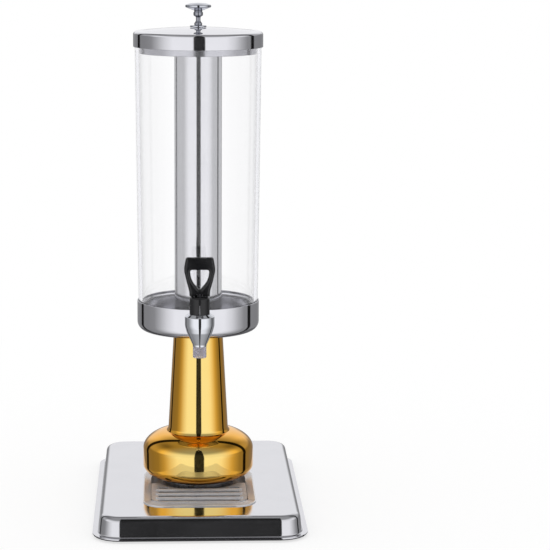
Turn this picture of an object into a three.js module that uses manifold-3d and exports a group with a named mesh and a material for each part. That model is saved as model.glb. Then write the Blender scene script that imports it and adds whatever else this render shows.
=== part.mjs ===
// Glass beverage dispenser: a straight glass tank with an ice tube, a lift-off lid and a tap,
// on a gold pedestal that stands in the drip well of a pressed stainless base.
// Millimetres, +Z up, origin on the table under the tower axis, tap towards -Y.

import * as THREE from 'three';
import { mergeVertices } from 'three/addons/utils/BufferGeometryUtils.js';
import Module from 'manifold-3d';

const wasm = await Module();
wasm.setup();

// Counts of flats on round pieces and of steps on arcs
const largeSegments = 36;
const smallSegments = 20;
const pinSegments = 12;
const roundEndSteps = 18;
const cornerSteps = 6;
const slotCornerSteps = 2;
const arcSteps = 4;
const bulbSteps = 5;

// Sheets and clearances
const sheet = 1.2;
const spunSheet = 1.5;
const wellSheet = 0.8;
const fitGap = 0.3;
const shaftGap = 0.5;
const overrun = 2;

// Base: plate on feet under a pressed cover with an outward flange
const footHeight = 2.4;
const footRadius = 10;
const footInsetX = 30;
const footInsetY = 38;
const plateThickness = 1.8;
const plateInset = 1.5;
const baseWidth = 250;
const baseDepth = 397;
const baseFlange = 7.3;
const baseCornerRadius = 28;
const baseWallLean = 2.7;
const baseRollRadius = 8;
const deckHeight = 30;

// Drip well: half width of its basin, rear end round the tower axis
const wellHalfWidth = 61;
const wellCornerRadius = 18;
const wellKneeFront = 120;
const wellShelfRun = 27.4;
const wellSideRun = 8;
const wellShelfDrop = 3.6;
const wellDepth = 17.2;
const wellRampAngle = THREE.MathUtils.degToRad(24);
const wellRimWidth = 1.6;
const baseSpacerRadius = 40;
const baseSpacerBore = 14;

// Drip tray and its grid
const trayGap = 0.5;
const trayWall = 1;
const trayHeight = 11.2;
const trayRear = 25;
const trayNotchRadius = 56;
const gridThickness = 1.5;
const gridPitch = 20;
const gridSlotWidth = 8;
const gridFrameWidth = 8.5;
const gridSlotCornerRadius = 2.5;
const gridSlotRear = 64;
const gridSlotCount = 3;
const gridSideSlotMargin = 4;

// Pedestal: boss, gasket, bulb and column
const bossRadius = 46;
const bossBore = 10;
const pedestalGasketThickness = 1;
const pedestalGasketRadius = 42;
const pedestalFootRadius = 40;
const pedestalFootBore = 30;
const bulbRadius = 71.3;
const bulbLowerRise = 17;
const bulbWaistRise = 21;
const bulbUpperRise = 24;
const bulbShoulderPower = 1.2;
const columnBaseRadius = 38.5;
const columnTopRadius = 31.3;
const columnHeight = 131.5;
const columnLipBore = 20;
const topPlateThickness = 4;

// Tie rod and its nuts
const rodRadius = 4;
const rodNutFlats = 13;
const rodNutHeight = 7;

// Tank bowl and what it holds
const bowlGasketThickness = 1.5;
const bowlGasketInset = 1.3;
const bowlRadius = 78;
const bowlFilletRadius = 11.2;
const bowlHeight = 38.4;
const bowlRimRound = 0.9;
const tankGlassGap = 0.35;
const tankGlassFlare = 3.71;
const tankGlassWall = 4.5;
const tankGlassHeight = 343.3;
const tankGlassSunk = 4.7;
const tankGasketThickness = 1.5;
const seatRingThickness = 1.2;

// Ice tube
const iceTubeRadius = 30;
const iceTubeWall = 1;
const iceTubeHeight = 361.3;
const iceTubeBead = 1;
const iceTubeFootHeight = 8;
const iceTubeFootRoof = 2.2;

// Lid and knob
const lidGlassGap = 0.64;
const lidSkirtHeight = 17.7;
const lidRollRadius = 2.5;
const lidDomeRise = 6.6;
const lidCoversGlass = 15;
const lidSealThickness = 1.1;
const lidCollarGap = 1.46;
const lidCollarHeight = 24.9;
const lidCollarFlange = 11;
const knobFlangeRadius = 10.4;
const knobFlangeHeight = 4.4;
const knobWaistRadius = 3.7;
const knobWaistHeight = 10;
const knobBeadRadius = 6.3;
const knobBeadHeight = 8;
const knobCapRadius = 16.3;
const knobNeckShare = 0.8;
const knobUnderShare = 0.7;
const knobDomeShares = [0.6, 0.65];
const knobCapUnderRise = 4.5;
const knobCapEdge = 1;
const knobCapDome = 2.8;
const knobScrewRadius = 2.1;
const knobScrewLength = 9;
const knobScrewHeadRadius = 5;
const knobScrewHeadHeight = 3.5;

// Tap: its own axis stands in front of the tower axis
const tapStandOff = 38;
const tapBodyRadius = 19.2;
const tapBodyHeight = 40.8;
const tapConeHeight = 26;
const tapBarrelHeight = 7;
const tapOutletRadius = 8.6;
const tapOutletBore = 5.5;
const tapShoulderLedge = 1.1;
const shoulderShare = 0.93;
const coneShares = [[0.13, 0.17], [0.5, 0.5], [0.87, 0.83], [1, 1]];
const tapChamberRadius = 9;
const tapChamberWall = 1;
const tapChamberFloor = 12;
const tapShankHeight = 19.5;
const tapBossRadius = 10.5;
const tapShankRadius = 7.5;
const tapShankBore = 4.8;
const tapShankInside = 18;
const tapShankSocket = 20;
const tapWasherRadius = 12;
const tapWasherThickness = 2;
const tapInnerWasherRadius = 10;
const tapLockNutFlats = 22;
const tapLockNutThickness = 8;
const nozzleInset = 0.25;
const nozzleWall = 2.15;
const nozzleLength = 14;
const bonnetRadius = 12.5;
const bonnetHeight = 21.8;
const bonnetChamfer = 2.4;
const bonnetRoof = 4.6;
const bonnetWall = 3.2;
const stemRadius = 3.6;
const stemNeckStep = 0.8;
const stemCollarGap = 0.7;
const stemCollarThickness = 2;
const seatCupGap = 1.4;
const seatCupHeight = 10;
const seatCupChamfer = 2;
const cupBoreShare = 0.6;
const springWireRadius = 0.8;
const springTurns = 6;
const springStepsPerTurn = 10;
const springSides = 6;

// Tap handle: a loop with two arms that meet over the bonnet
const handleHeight = 48.4;
const handleTopWidth = 33.5;
const handleWidestWidth = 39;
const handleWidestHeight = 33;
const handleFootWidth = 25.4;
const handleFootHeight = 6;
const handleDepth = 11;
const handleBevel = 1.5;
const handleCornerRadius = 3;
const handleHoleWidth = 24;
const handleHoleBottom = 9;
const handleHoleTop = 33.1;
const handleHolePointWidth = 2.4;
const handleHoleCornerRadius = 2.5;
const handleBendShare = 0.45;
const handlePinHeight = 2.7;
const handlePinRadius = 1.3;
const handlePinInset = 2.2;
const handlePocketHeight = 6.8;
const stemHeadHeight = 2.3;

// Widths that follow from the pieces they fit
const wellLipHalfWidth = wellHalfWidth + wellSideRun + wellRimWidth;
const wellLipFront = wellKneeFront + wellShelfRun + wellRimWidth;
const gridSlotHalfLength = wellHalfWidth - trayGap - gridFrameWidth;
const bowlInnerRadius = bowlRadius - sheet;
const glassFootRadius = bowlInnerRadius - tankGlassGap;
const glassTopRadius = glassFootRadius + tankGlassFlare;
const lidInnerRadius = glassTopRadius + lidGlassGap;
const lidRadius = lidInnerRadius + sheet;
const lidDomeRadius = lidRadius - lidRollRadius;
const lidCollarRadius = glassTopRadius - tankGlassWall - lidCollarGap;
const tapReach = bowlRadius + tapStandOff;
const tapShoulderRadius = bonnetRadius + tapShoulderLedge;
const nozzleRadius = tapOutletRadius - nozzleInset;
const bonnetBoreRadius = bonnetRadius - bonnetWall;
const stemNeckRadius = stemRadius - stemNeckStep;
const stemCollarRadius = tapChamberRadius - stemCollarGap;
const seatCupRadius = tapChamberRadius - seatCupGap;

// Heights worked out from the sizes above
const plateTop = footHeight + plateThickness;
const rimTop = deckHeight + sheet;
const wellFloor = rimTop - wellDepth;
const wellKnee = rimTop - wellShelfDrop;
const wellSlope = Math.tan(wellRampAngle);
const trayBottom = wellFloor + fitGap;
const trayTop = trayBottom + trayHeight;
const gridBottom = trayTop + fitGap;
const pedestalBottom = deckHeight + pedestalGasketThickness;
const bulbWaistBottom = pedestalBottom + bulbLowerRise;
const bulbWaistTop = bulbWaistBottom + bulbWaistRise;
const bulbTop = bulbWaistTop + bulbUpperRise;
const columnTop = bulbTop + columnHeight;
const columnLipUnder = columnTop - spunSheet;
const topPlateBottom = columnLipUnder - topPlateThickness;
const bowlBottom = columnTop + bowlGasketThickness;
const bowlTop = bowlBottom + bowlHeight;
const bowlFloor = bowlBottom + sheet;
const iceFootBottom = bowlFloor + bowlGasketThickness;
const iceTubeBottom = iceFootBottom + iceTubeFootHeight;
const rodTop = iceTubeBottom - iceTubeFootRoof - fitGap;
const glassBottom = bowlTop - tankGlassSunk;
const glassTop = glassBottom + tankGlassHeight;
const lidBottom = glassTop - lidCoversGlass;
const lidShoulder = lidBottom + lidSkirtHeight;
const knobBottom = lidShoulder + lidDomeRise + fitGap;
const tapBottom = bowlBottom;

// Places on the tap: distances along Y from its axis to the bowl wall, and heights from its outlet
const bowlWall = tapReach - bowlRadius;
const tapBossEnd = bowlWall - fitGap - tapWasherThickness;
const tapSocketEnd = tapBossEnd - tapShankSocket;
const bonnetTop = tapBodyHeight + bonnetHeight;
const bonnetCeiling = bonnetTop - bonnetRoof;
const seatCupBottom = tapChamberFloor + fitGap;
const seatCupTop = seatCupBottom + seatCupHeight;
const stemCollarTop = tapBodyHeight - stemCollarThickness;
const handleBottom = bonnetTop + fitGap;
const handlePinAxis = handleBottom + handlePinHeight;

// Colours and finishes of the pieces
const finishes = {
  steel: { color: 0xd9dbe0, roughness: 0.12, metalness: 1 },
  brushed: { color: 0xb4b7bc, roughness: 0.35, metalness: 1 },
  gold: { color: 0xe8b451, roughness: 0.1, metalness: 1 },
  chrome: { color: 0xe6e8ec, roughness: 0.05, metalness: 1 },
  glass: { color: 0xf2f3f8, roughness: 0.02, metalness: 0 },
  clearPlastic: { color: 0xd9d6dd, roughness: 0.2, metalness: 0 },
  blackPlastic: { color: 0x1d1d22, roughness: 0.3, metalness: 0 },
  rubber: { color: 0x26262a, roughness: 0.7, metalness: 0 },
  silicone: { color: 0xdcdce0, roughness: 0.5, metalness: 0 },
  zincSteel: { color: 0x9a9da1, roughness: 0.4, metalness: 1 },
};

const dispenser = new THREE.Group();
const tap = new THREE.Group();
tap.position.set(0, -tapReach, tapBottom);
dispenser.add(tap);

// Closed geometry with shared corners and without empty triangles
function closed(geometry) {
  geometry.deleteAttribute('normal');
  geometry.deleteAttribute('uv');
  const merged = mergeVertices(geometry);
  const corners = merged.index.array;
  const kept = [];
  for (let i = 0; i < corners.length; i += 3) {
    const [a, b, c] = corners.slice(i, i + 3);
    if (a !== b && b !== c && c !== a) kept.push(a, b, c);
  }
  merged.setIndex(kept);
  return merged;
}

function solid(geometry) {
  const merged = closed(geometry);
  const vertProperties = new Float32Array(merged.attributes.position.array);
  const triVerts = new Uint32Array(merged.index.array);
  return new wasm.Manifold(new wasm.Mesh({ numProp: 3, vertProperties, triVerts }));
}

function geometryOf(body) {
  const mesh = body.getMesh();
  const geometry = new THREE.BufferGeometry();
  geometry.setAttribute('position', new THREE.BufferAttribute(mesh.vertProperties, 3));
  geometry.setIndex(new THREE.BufferAttribute(mesh.triVerts, 1));
  return geometry;
}

// The first geometry with the others taken out of it
function cutFrom(geometry, ...cuts) {
  return geometryOf(cuts.reduce((body, cut) => body.subtract(solid(cut)), solid(geometry)));
}

function joined(...parts) {
  return geometryOf(parts.slice(1).reduce((body, part) => body.add(solid(part)), solid(parts[0])));
}

function place(name, geometry, finish, parent = dispenser) {
  const mesh = new THREE.Mesh(closed(geometry), new THREE.MeshStandardMaterial(finishes[finish]));
  mesh.name = name;
  parent.add(mesh);
  return mesh;
}

// Profile points are [radius, height], anticlockwise, from axis to axis
function turned(profile, segments = largeSegments) {
  const points = profile.map(([radius, height]) => new THREE.Vector2(radius, height));
  return new THREE.LatheGeometry(points, segments).rotateX(Math.PI / 2);
}

// Profile of a ring or tube, which closes on itself
function turnedRing(profile, segments = largeSegments) {
  return turned([...profile, profile[0]], segments);
}

function ring(inner, outer, bottom, top, segments = largeSegments) {
  return turnedRing([[inner, bottom], [outer, bottom], [outer, top], [inner, top]], segments);
}

function disc(radius, bottom, top, segments = largeSegments) {
  return turned([[0, bottom], [radius, bottom], [radius, top], [0, top]], segments);
}

function block(low, high) {
  const size = high.map((value, i) => value - low[i]);
  const centre = high.map((value, i) => (value + low[i]) / 2);
  return new THREE.BoxGeometry(...size).translate(...centre);
}

function hexagon(flats, bottom, top) {
  const geometry = new THREE.CylinderGeometry(1, 1, 1, 6).rotateX(Math.PI / 2).rotateZ(Math.PI / 6);
  const corner = flats / 2 / Math.cos(Math.PI / 6);
  return geometry.scale(corner, corner, top - bottom).translate(0, 0, (top + bottom) / 2);
}

// Arc of [radius, height] points about a centre, by start and end angle
function arc([centreRadius, centreHeight], radius, start, end) {
  return Array.from({ length: arcSteps + 1 }, (_, i) => {
    const angle = start + ((end - start) * i) / arcSteps;
    return [centreRadius + radius * Math.cos(angle), centreHeight + radius * Math.sin(angle)];
  });
}

// Solid through a stack of convex rings with as many points each
function loft(rings) {
  const count = rings[0].length;
  const corners = [];
  for (let level = 1; level < rings.length; level += 1) {
    for (let i = 0; i < count; i += 1) {
      const low = (level - 1) * count;
      const next = (i + 1) % count;
      corners.push(low + i, low + next, low + count + next);
      corners.push(low + i, low + count + next, low + count + i);
    }
  }
  const last = (rings.length - 1) * count;
  for (let i = 1; i < count - 1; i += 1) {
    corners.push(0, i + 1, i);
    corners.push(last, last + i, last + i + 1);
  }
  const geometry = new THREE.BufferGeometry();
  geometry.setAttribute('position', new THREE.Float32BufferAttribute(rings.flat(2), 3));
  geometry.setIndex(corners);
  return geometry;
}

function cornerPoints(centreX, centreY, radius, start, end, height, steps = cornerSteps) {
  return Array.from({ length: steps + 1 }, (_, i) => {
    const angle = start + ((end - start) * i) / steps;
    return [centreX + radius * Math.cos(angle), centreY + radius * Math.sin(angle), height];
  });
}

// Rounded rectangle of the base, grown or shrunk by an offset
function baseRing(offset, height) {
  const radius = baseCornerRadius + offset;
  const x = baseWidth / 2 + offset - radius;
  const y = baseDepth / 2 + offset - radius;
  const corners = [[x, y], [-x, y], [-x, -y], [x, -y]];
  return corners.flatMap(([centreX, centreY], i) => {
    const start = (i * Math.PI) / 2;
    return cornerPoints(centreX, centreY, radius, start, start + Math.PI / 2, height);
  });
}

// Tongue of the drip well: half round behind, two rounded corners in front
function tongueRing(halfWidth, front, height) {
  const radius = wellCornerRadius + halfWidth - wellHalfWidth;
  const rear = cornerPoints(0, 0, halfWidth, 0, Math.PI, height, roundEndSteps);
  const x = halfWidth - radius;
  const y = radius - front;
  const left = cornerPoints(-x, y, radius, Math.PI, Math.PI * 1.5, height);
  const right = cornerPoints(x, y, radius, Math.PI * 1.5, Math.PI * 2, height);
  return [...rear, ...left, ...right];
}

// Front of the basin at a height on its ramp
function rampFront(height) {
  return wellKneeFront - (wellKnee - height) / wellSlope;
}

function makeFeet() {
  const x = baseWidth / 2 - footInsetX;
  const y = baseDepth / 2 - footInsetY;
  const places = { front_left: [-x, -y], front_right: [x, -y], rear_left: [-x, y], rear_right: [x, y] };
  for (const [corner, [footX, footY]] of Object.entries(places)) {
    const foot = place(`foot_${corner}`, disc(footRadius, 0, footHeight, smallSegments), 'rubber');
    foot.position.set(footX, footY, 0);
  }
}

function makeBasePlate() {
  const edge = baseFlange - plateInset;
  place('base_plate', loft([baseRing(edge, footHeight), baseRing(edge, plateTop)]), 'zincSteel');
}

function makeBaseCover() {
  const flangeTop = plateTop + sheet;
  const wallTop = deckHeight - baseRollRadius;
  const rollCentre = [-baseWallLean - baseRollRadius, wallTop];
  const outerRoll = arc(rollCentre, baseRollRadius, 0, Math.PI / 2);
  const innerRoll = arc(rollCentre, baseRollRadius - sheet, Math.PI / 2, 0);
  const section = [
    ...innerRoll,
    [-sheet, plateTop],
    [baseFlange, plateTop],
    [baseFlange, flangeTop],
    [0, flangeTop],
    ...outerRoll,
  ];
  const cover = loft(section.map(([offset, height]) => baseRing(offset, height)));
  const holeSide = lipInner(wellHalfWidth + wellSheet, wellSideRun) + fitGap;
  const holeFront = lipInner(wellKneeFront + wellSheet, wellShelfRun) + fitGap;
  const low = deckHeight - sheet - overrun;
  const high = deckHeight + overrun;
  const hole = loft([tongueRing(holeSide, holeFront, low), tongueRing(holeSide, holeFront, high)]);
  place('base_cover', cutFrom(cover, hole), 'steel');
}

// Where the underside of a sloping edge of the well meets the deck
function lipInner(start, run) {
  const rise = deckHeight - (wellKnee - wellSheet);
  return start + (run * rise) / wellShelfDrop;
}

function makeDripWell() {
  const floorFront = rampFront(wellFloor);
  const lipSide = lipInner(wellHalfWidth + wellSheet, wellSideRun);
  const lipFront = lipInner(wellKneeFront + wellSheet, wellShelfRun);
  const outer = loft([
    tongueRing(wellHalfWidth + wellSheet, floorFront + wellSheet, wellFloor - wellSheet),
    tongueRing(wellHalfWidth + wellSheet, wellKneeFront + wellSheet, wellKnee - wellSheet),
    tongueRing(lipSide, lipFront, deckHeight),
    tongueRing(wellLipHalfWidth, wellLipFront, deckHeight),
    tongueRing(wellLipHalfWidth, wellLipFront, rimTop),
  ]);
  const rimHalfWidth = wellHalfWidth + wellSideRun;
  const rimFront = wellKneeFront + wellShelfRun;
  const inner = loft([
    tongueRing(wellHalfWidth, floorFront, wellFloor),
    tongueRing(wellHalfWidth, wellKneeFront, wellKnee),
    tongueRing(rimHalfWidth, rimFront, rimTop),
    tongueRing(rimHalfWidth, rimFront, rimTop + overrun),
  ]);
  const rodHole = disc(rodRadius + shaftGap, wellFloor - overrun, wellFloor + overrun, smallSegments);
  place('drip_well', cutFrom(outer, inner, rodHole), 'brushed');
}

// Space of the tray or grid: the tongue less its rear part and a notch round the boss
function trayForm(inset, bottom, top, notchRadius, rear) {
  const side = wellHalfWidth - inset;
  const frontInset = inset / Math.sin(wellRampAngle);
  const form = loft([
    tongueRing(side, rampFront(bottom) - frontInset, bottom),
    tongueRing(side, rampFront(top) - frontInset, top),
  ]);
  const reach = wellLipFront;
  const behind = block([-reach, -rear, bottom - overrun], [reach, reach, top + overrun]);
  const notch = disc(notchRadius, bottom - overrun, top + overrun);
  return cutFrom(form, behind, notch);
}

function makeDripTray() {
  const outer = trayForm(trayGap, trayBottom, trayTop, trayNotchRadius, trayRear);
  const notchWall = trayNotchRadius + trayWall;
  const inset = trayGap + trayWall;
  const inner = trayForm(inset, trayBottom + trayWall, trayTop + overrun, notchWall, trayRear + trayWall);
  place('drip_tray', cutFrom(outer, inner), 'brushed');
}

function roundedSlot(left, right, front, rear) {
  const radius = Math.min(gridSlotCornerRadius, (right - left) / 2, (rear - front) / 2);
  const corners = [
    [right - radius, rear - radius],
    [left + radius, rear - radius],
    [left + radius, front + radius],
    [right - radius, front + radius],
  ];
  const bottom = gridBottom - overrun;
  const top = gridBottom + gridThickness + overrun;
  const rings = [bottom, top].map((height) => corners.flatMap(([x, y], i) => {
    const start = (i * Math.PI) / 2;
    return cornerPoints(x, y, radius, start, start + Math.PI / 2, height, slotCornerSteps);
  }));
  return loft(rings);
}

function makeDripGrid() {
  const top = gridBottom + gridThickness;
  const front = rampFront(gridBottom) - trayGap / Math.sin(wellRampAngle);
  const side = wellHalfWidth - trayGap;
  const form = loft([tongueRing(side, front, gridBottom), tongueRing(side, front, top)]);
  const reach = wellLipFront;
  const behind = block([-reach, -trayRear, gridBottom - overrun], [reach, reach, top + overrun]);
  const notch = disc(trayNotchRadius, gridBottom - overrun, top + overrun);
  const slots = [];
  for (let i = 0; i < gridSlotCount; i += 1) {
    const rear = -gridSlotRear - i * gridPitch;
    slots.push(roundedSlot(-gridSlotHalfLength, gridSlotHalfLength, rear - gridSlotWidth, rear));
  }
  const outer = gridSlotHalfLength;
  for (const side of [-1, 1]) {
    const rear = -gridSlotRear + gridPitch;
    const inner = Math.sqrt(trayNotchRadius ** 2 - rear ** 2) + gridSideSlotMargin;
    const edges = [side * inner, side * outer].sort((a, b) => a - b);
    slots.push(roundedSlot(...edges, rear - gridSlotWidth, rear));
  }
  place('drip_grid', cutFrom(form, behind, notch, ...slots), 'brushed');
}

function makeBaseStack() {
  const spacerTop = wellFloor - wellSheet;
  const spacer = ring(baseSpacerBore, baseSpacerRadius, plateTop, spacerTop, smallSegments);
  place('base_spacer', spacer, 'zincSteel');
  place('pedestal_boss', ring(bossBore, bossRadius, wellFloor, deckHeight), 'brushed');
  const gasket = ring(pedestalFootBore, pedestalGasketRadius, deckHeight, pedestalBottom, smallSegments);
  place('pedestal_gasket', gasket, 'rubber');
}

// One wall of the bulb, from its foot to its collar, for a wall offset inwards
function bulbWall(inset) {
  const widest = bulbRadius - inset;
  const collar = columnBaseRadius - inset;
  const lowerRise = bulbLowerRise - inset;
  const lower = [];
  const upper = [];
  for (let i = 0; i <= bulbSteps; i += 1) {
    const angle = ((Math.PI / 2) * i) / bulbSteps;
    const spread = i < bulbSteps ? Math.cos(angle) ** bulbShoulderPower : 0;
    lower.push([
      pedestalFootRadius + (widest - pedestalFootRadius) * Math.sin(angle),
      bulbWaistBottom - lowerRise * Math.cos(angle),
    ]);
    upper.push([
      collar + (widest - collar) * spread,
      bulbWaistTop + (bulbUpperRise - inset) * Math.sin(angle),
    ]);
  }
  return [...lower, ...upper];
}

function makePedestalBulb() {
  const outer = bulbWall(0);
  const inner = bulbWall(spunSheet).reverse();
  const profile = [
    [pedestalFootBore, pedestalBottom],
    ...outer,
    [columnBaseRadius - spunSheet, bulbTop],
    ...inner,
    [pedestalFootBore, pedestalBottom + spunSheet],
  ];
  place('pedestal_bulb', turnedRing(profile), 'gold');
}

function columnInnerRadius(height) {
  const share = (height - bulbTop) / columnHeight;
  return columnBaseRadius - spunSheet - (columnBaseRadius - columnTopRadius) * share;
}

function makePedestalColumn() {
  const profile = [
    [columnBaseRadius, bulbTop],
    [columnTopRadius, columnTop],
    [columnLipBore, columnTop],
    [columnLipBore, columnLipUnder],
    [columnInnerRadius(columnLipUnder), columnLipUnder],
    [columnInnerRadius(bulbTop), bulbTop],
  ];
  place('pedestal_column', turnedRing(profile), 'gold');
  const plateRadius = columnInnerRadius(columnLipUnder) - shaftGap;
  const rodBore = rodRadius + shaftGap;
  const plate = ring(rodBore, plateRadius, topPlateBottom, columnLipUnder, smallSegments);
  place('pedestal_top_plate', plate, 'zincSteel');
}

function nut(flats, bore, bottom, top) {
  return cutFrom(hexagon(flats, bottom, top), disc(bore, bottom - overrun, top + overrun, smallSegments));
}

function makeTieRod() {
  const bore = rodRadius + fitGap;
  place('tie_rod', disc(rodRadius, plateTop + fitGap, rodTop, smallSegments), 'zincSteel');
  place('tie_rod_weld_nut', nut(rodNutFlats, bore, plateTop, plateTop + rodNutHeight), 'zincSteel');
  const jamNut = nut(rodNutFlats, bore, topPlateBottom - rodNutHeight, topPlateBottom);
  place('tie_rod_jam_nut', jamNut, 'zincSteel');
}

function bowlProfile(bore) {
  const centre = [bowlRadius - bowlFilletRadius, bowlBottom + bowlFilletRadius];
  return [
    [bore, bowlBottom],
    ...arc(centre, bowlFilletRadius, -Math.PI / 2, 0),
    [bowlRadius, bowlTop - bowlRimRound],
    [bowlRadius - bowlRimRound, bowlTop],
    [bowlInnerRadius, bowlTop],
    ...arc(centre, bowlFilletRadius - sheet, 0, -Math.PI / 2),
    [bore, bowlFloor],
  ];
}

// Round bar or hole between two places along Y
function barAlongY(radius, low, high, height) {
  const bar = new THREE.CylinderGeometry(radius, radius, high - low, smallSegments);
  return bar.translate(0, (low + high) / 2, height);
}

function makeTankBowl() {
  const rodBore = rodRadius + shaftGap;
  const shell = turnedRing(bowlProfile(rodBore));
  const holeRadius = tapShankRadius + shaftGap;
  const holeStart = -bowlRadius - overrun;
  const holeEnd = bowlFilletRadius - bowlRadius;
  const shankHole = barAlongY(holeRadius, holeStart, holeEnd, tapBottom + tapShankHeight);
  place('tank_bowl', cutFrom(shell, shankHole), 'steel');
  const lowerRadius = columnTopRadius - bowlGasketInset;
  const lower = ring(rodBore, lowerRadius, columnTop, bowlBottom, smallSegments);
  place('bowl_lower_gasket', lower, 'rubber');
  const upper = ring(rodBore, iceTubeRadius, bowlFloor, iceFootBottom, smallSegments);
  place('bowl_upper_gasket', upper, 'silicone');
}

function makeTank() {
  const innerFoot = glassFootRadius - tankGlassWall;
  const innerTop = glassTopRadius - tankGlassWall;
  const seatRadius = bowlInnerRadius - fitGap;
  const gasketBottom = glassBottom - tankGasketThickness;
  const seat = ring(innerFoot, seatRadius, gasketBottom - seatRingThickness, gasketBottom);
  place('bowl_seat_ring', seat, 'brushed');
  place('tank_gasket', ring(innerFoot, seatRadius, gasketBottom, glassBottom), 'silicone');
  const wall = turnedRing([
    [innerFoot, glassBottom],
    [glassFootRadius, glassBottom],
    [glassTopRadius, glassTop],
    [innerTop, glassTop],
  ]);
  place('tank_cylinder', wall, 'glass');
}

function makeIceTube() {
  const bore = rodRadius + fitGap;
  const boreTop = iceTubeBottom - iceTubeFootRoof;
  const foot = turned([
    [0, boreTop],
    [bore, boreTop],
    [bore, iceFootBottom],
    [iceTubeRadius, iceFootBottom],
    [iceTubeRadius, iceTubeBottom],
    [0, iceTubeBottom],
  ], smallSegments);
  place('ice_tube_foot', foot, 'brushed');
  const top = iceTubeBottom + iceTubeHeight;
  const inner = iceTubeRadius - iceTubeWall;
  const tube = turned([
    [0, iceTubeBottom],
    [iceTubeRadius, iceTubeBottom],
    [iceTubeRadius, top - iceTubeBead * 2],
    [iceTubeRadius + iceTubeBead, top - iceTubeBead],
    [iceTubeRadius, top],
    [inner, top],
    [inner, iceTubeBottom + iceTubeWall],
    [0, iceTubeBottom + iceTubeWall],
  ]);
  place('ice_tube', tube, 'steel');
}

// Height of the lid's dome over a radius, for a surface dropped by some depth
function domePoint(radius, drop) {
  const share = 1 - (radius / lidDomeRadius) ** 2;
  return [radius, lidShoulder - drop + lidDomeRise * share];
}

function domeArc(outer, inner, drop) {
  return Array.from({ length: arcSteps + 1 }, (_, i) => {
    return domePoint(outer + ((inner - outer) * i) / arcSteps, drop);
  });
}

function makeLidCover() {
  const hole = knobScrewRadius + shaftGap;
  const rollCentre = [lidDomeRadius, lidShoulder - lidRollRadius];
  const profile = [
    [lidInnerRadius, lidBottom],
    [lidRadius, lidBottom],
    ...arc(rollCentre, lidRollRadius, 0, Math.PI / 2).slice(0, -1),
    ...domeArc(lidDomeRadius, hole, 0),
    ...domeArc(lidDomeRadius, hole, sheet).reverse(),
    [lidInnerRadius, lidShoulder - lidRollRadius],
  ];
  place('lid_cover', turnedRing(profile), 'steel');
}

function makeLidCollar() {
  const top = domePoint(lidCollarRadius, sheet)[1] - fitGap;
  const bottom = top - lidCollarHeight;
  const collar = turnedRing([
    [lidCollarRadius - sheet, bottom],
    [lidCollarRadius, bottom],
    [lidCollarRadius, top],
    [lidCollarRadius - lidCollarFlange, top],
    [lidCollarRadius - lidCollarFlange, top - sheet],
    [lidCollarRadius - sheet, top - sheet],
  ]);
  place('lid_collar', collar, 'steel');
  const sealBottom = glassTop + fitGap;
  const seal = ring(lidCollarRadius + fitGap, lidDomeRadius, sealBottom, sealBottom + lidSealThickness);
  place('lid_seal', seal, 'silicone');
}

function makeKnob() {
  const bore = knobScrewRadius + fitGap;
  const boreTop = knobBottom + knobScrewLength;
  const flangeTop = knobBottom + knobFlangeHeight;
  const waistTop = flangeTop + knobWaistHeight;
  const beadTop = waistTop + knobBeadHeight;
  const capEdge = beadTop + knobCapUnderRise;
  const [domeWide, domeHigh] = knobDomeShares;
  const knob = turned([
    [0, boreTop],
    [bore, boreTop],
    [bore, knobBottom],
    [knobFlangeRadius, knobBottom],
    [knobFlangeRadius, knobBottom + knobFlangeHeight / 3],
    [knobWaistRadius * 2, knobBottom + (knobFlangeHeight * 2) / 3],
    [knobWaistRadius, flangeTop],
    [knobWaistRadius, waistTop],
    [knobBeadRadius, waistTop + knobBeadHeight / 3],
    [knobBeadRadius, waistTop + (knobBeadHeight * 2) / 3],
    [knobBeadRadius * knobNeckShare, beadTop],
    [knobCapRadius * knobUnderShare, beadTop + knobCapUnderRise / 2],
    [knobCapRadius, capEdge],
    [knobCapRadius, capEdge + knobCapEdge],
    [knobCapRadius * domeWide, capEdge + knobCapEdge + knobCapDome * domeHigh],
    [0, capEdge + knobCapEdge + knobCapDome],
  ], smallSegments);
  place('lid_knob', knob, 'chrome');
  const headTop = lidShoulder + lidDomeRise - sheet - fitGap;
  const screw = turned([
    [0, headTop - knobScrewHeadHeight],
    [knobScrewHeadRadius, headTop - knobScrewHeadHeight],
    [knobScrewHeadRadius, headTop],
    [knobScrewRadius, headTop],
    [knobScrewRadius, boreTop - fitGap],
    [0, boreTop - fitGap],
  ], smallSegments);
  place('lid_knob_screw', screw, 'zincSteel');
}

// Tap pieces stand in the tap's own group: its origin is on the tap axis at the outlet
function makeTapBody() {
  const shoulder = tapConeHeight + tapBarrelHeight;
  const flare = tapBodyRadius - tapOutletRadius;
  const shell = turnedRing([
    [tapOutletBore, 0],
    [tapOutletRadius, 0],
    ...coneShares.map(([wide, high]) => [tapOutletRadius + flare * wide, tapConeHeight * high]),
    [tapBodyRadius, shoulder],
    [tapBodyRadius * shoulderShare, (shoulder + tapBodyHeight) / 2],
    [tapShoulderRadius, tapBodyHeight],
    [tapChamberRadius, tapBodyHeight],
    [tapChamberRadius, tapChamberFloor],
    [tapOutletBore, tapChamberFloor],
  ], smallSegments);
  const bossStart = tapChamberRadius + tapChamberWall;
  const boss = barAlongY(tapBossRadius, bossStart, tapBossEnd, tapShankHeight);
  const socket = barAlongY(tapShankRadius + fitGap, tapSocketEnd, tapBossEnd + overrun, tapShankHeight);
  const inlet = barAlongY(tapShankBore, 0, tapBossEnd, tapShankHeight);
  place('tap_body', cutFrom(joined(shell, boss), socket, inlet), 'chrome', tap);
}

function makeTapNozzle() {
  const nozzleBore = nozzleRadius - nozzleWall;
  const nozzle = ring(nozzleBore, nozzleRadius, -nozzleLength, 0, smallSegments);
  place('tap_nozzle', nozzle, 'clearPlastic', tap);
}

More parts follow.
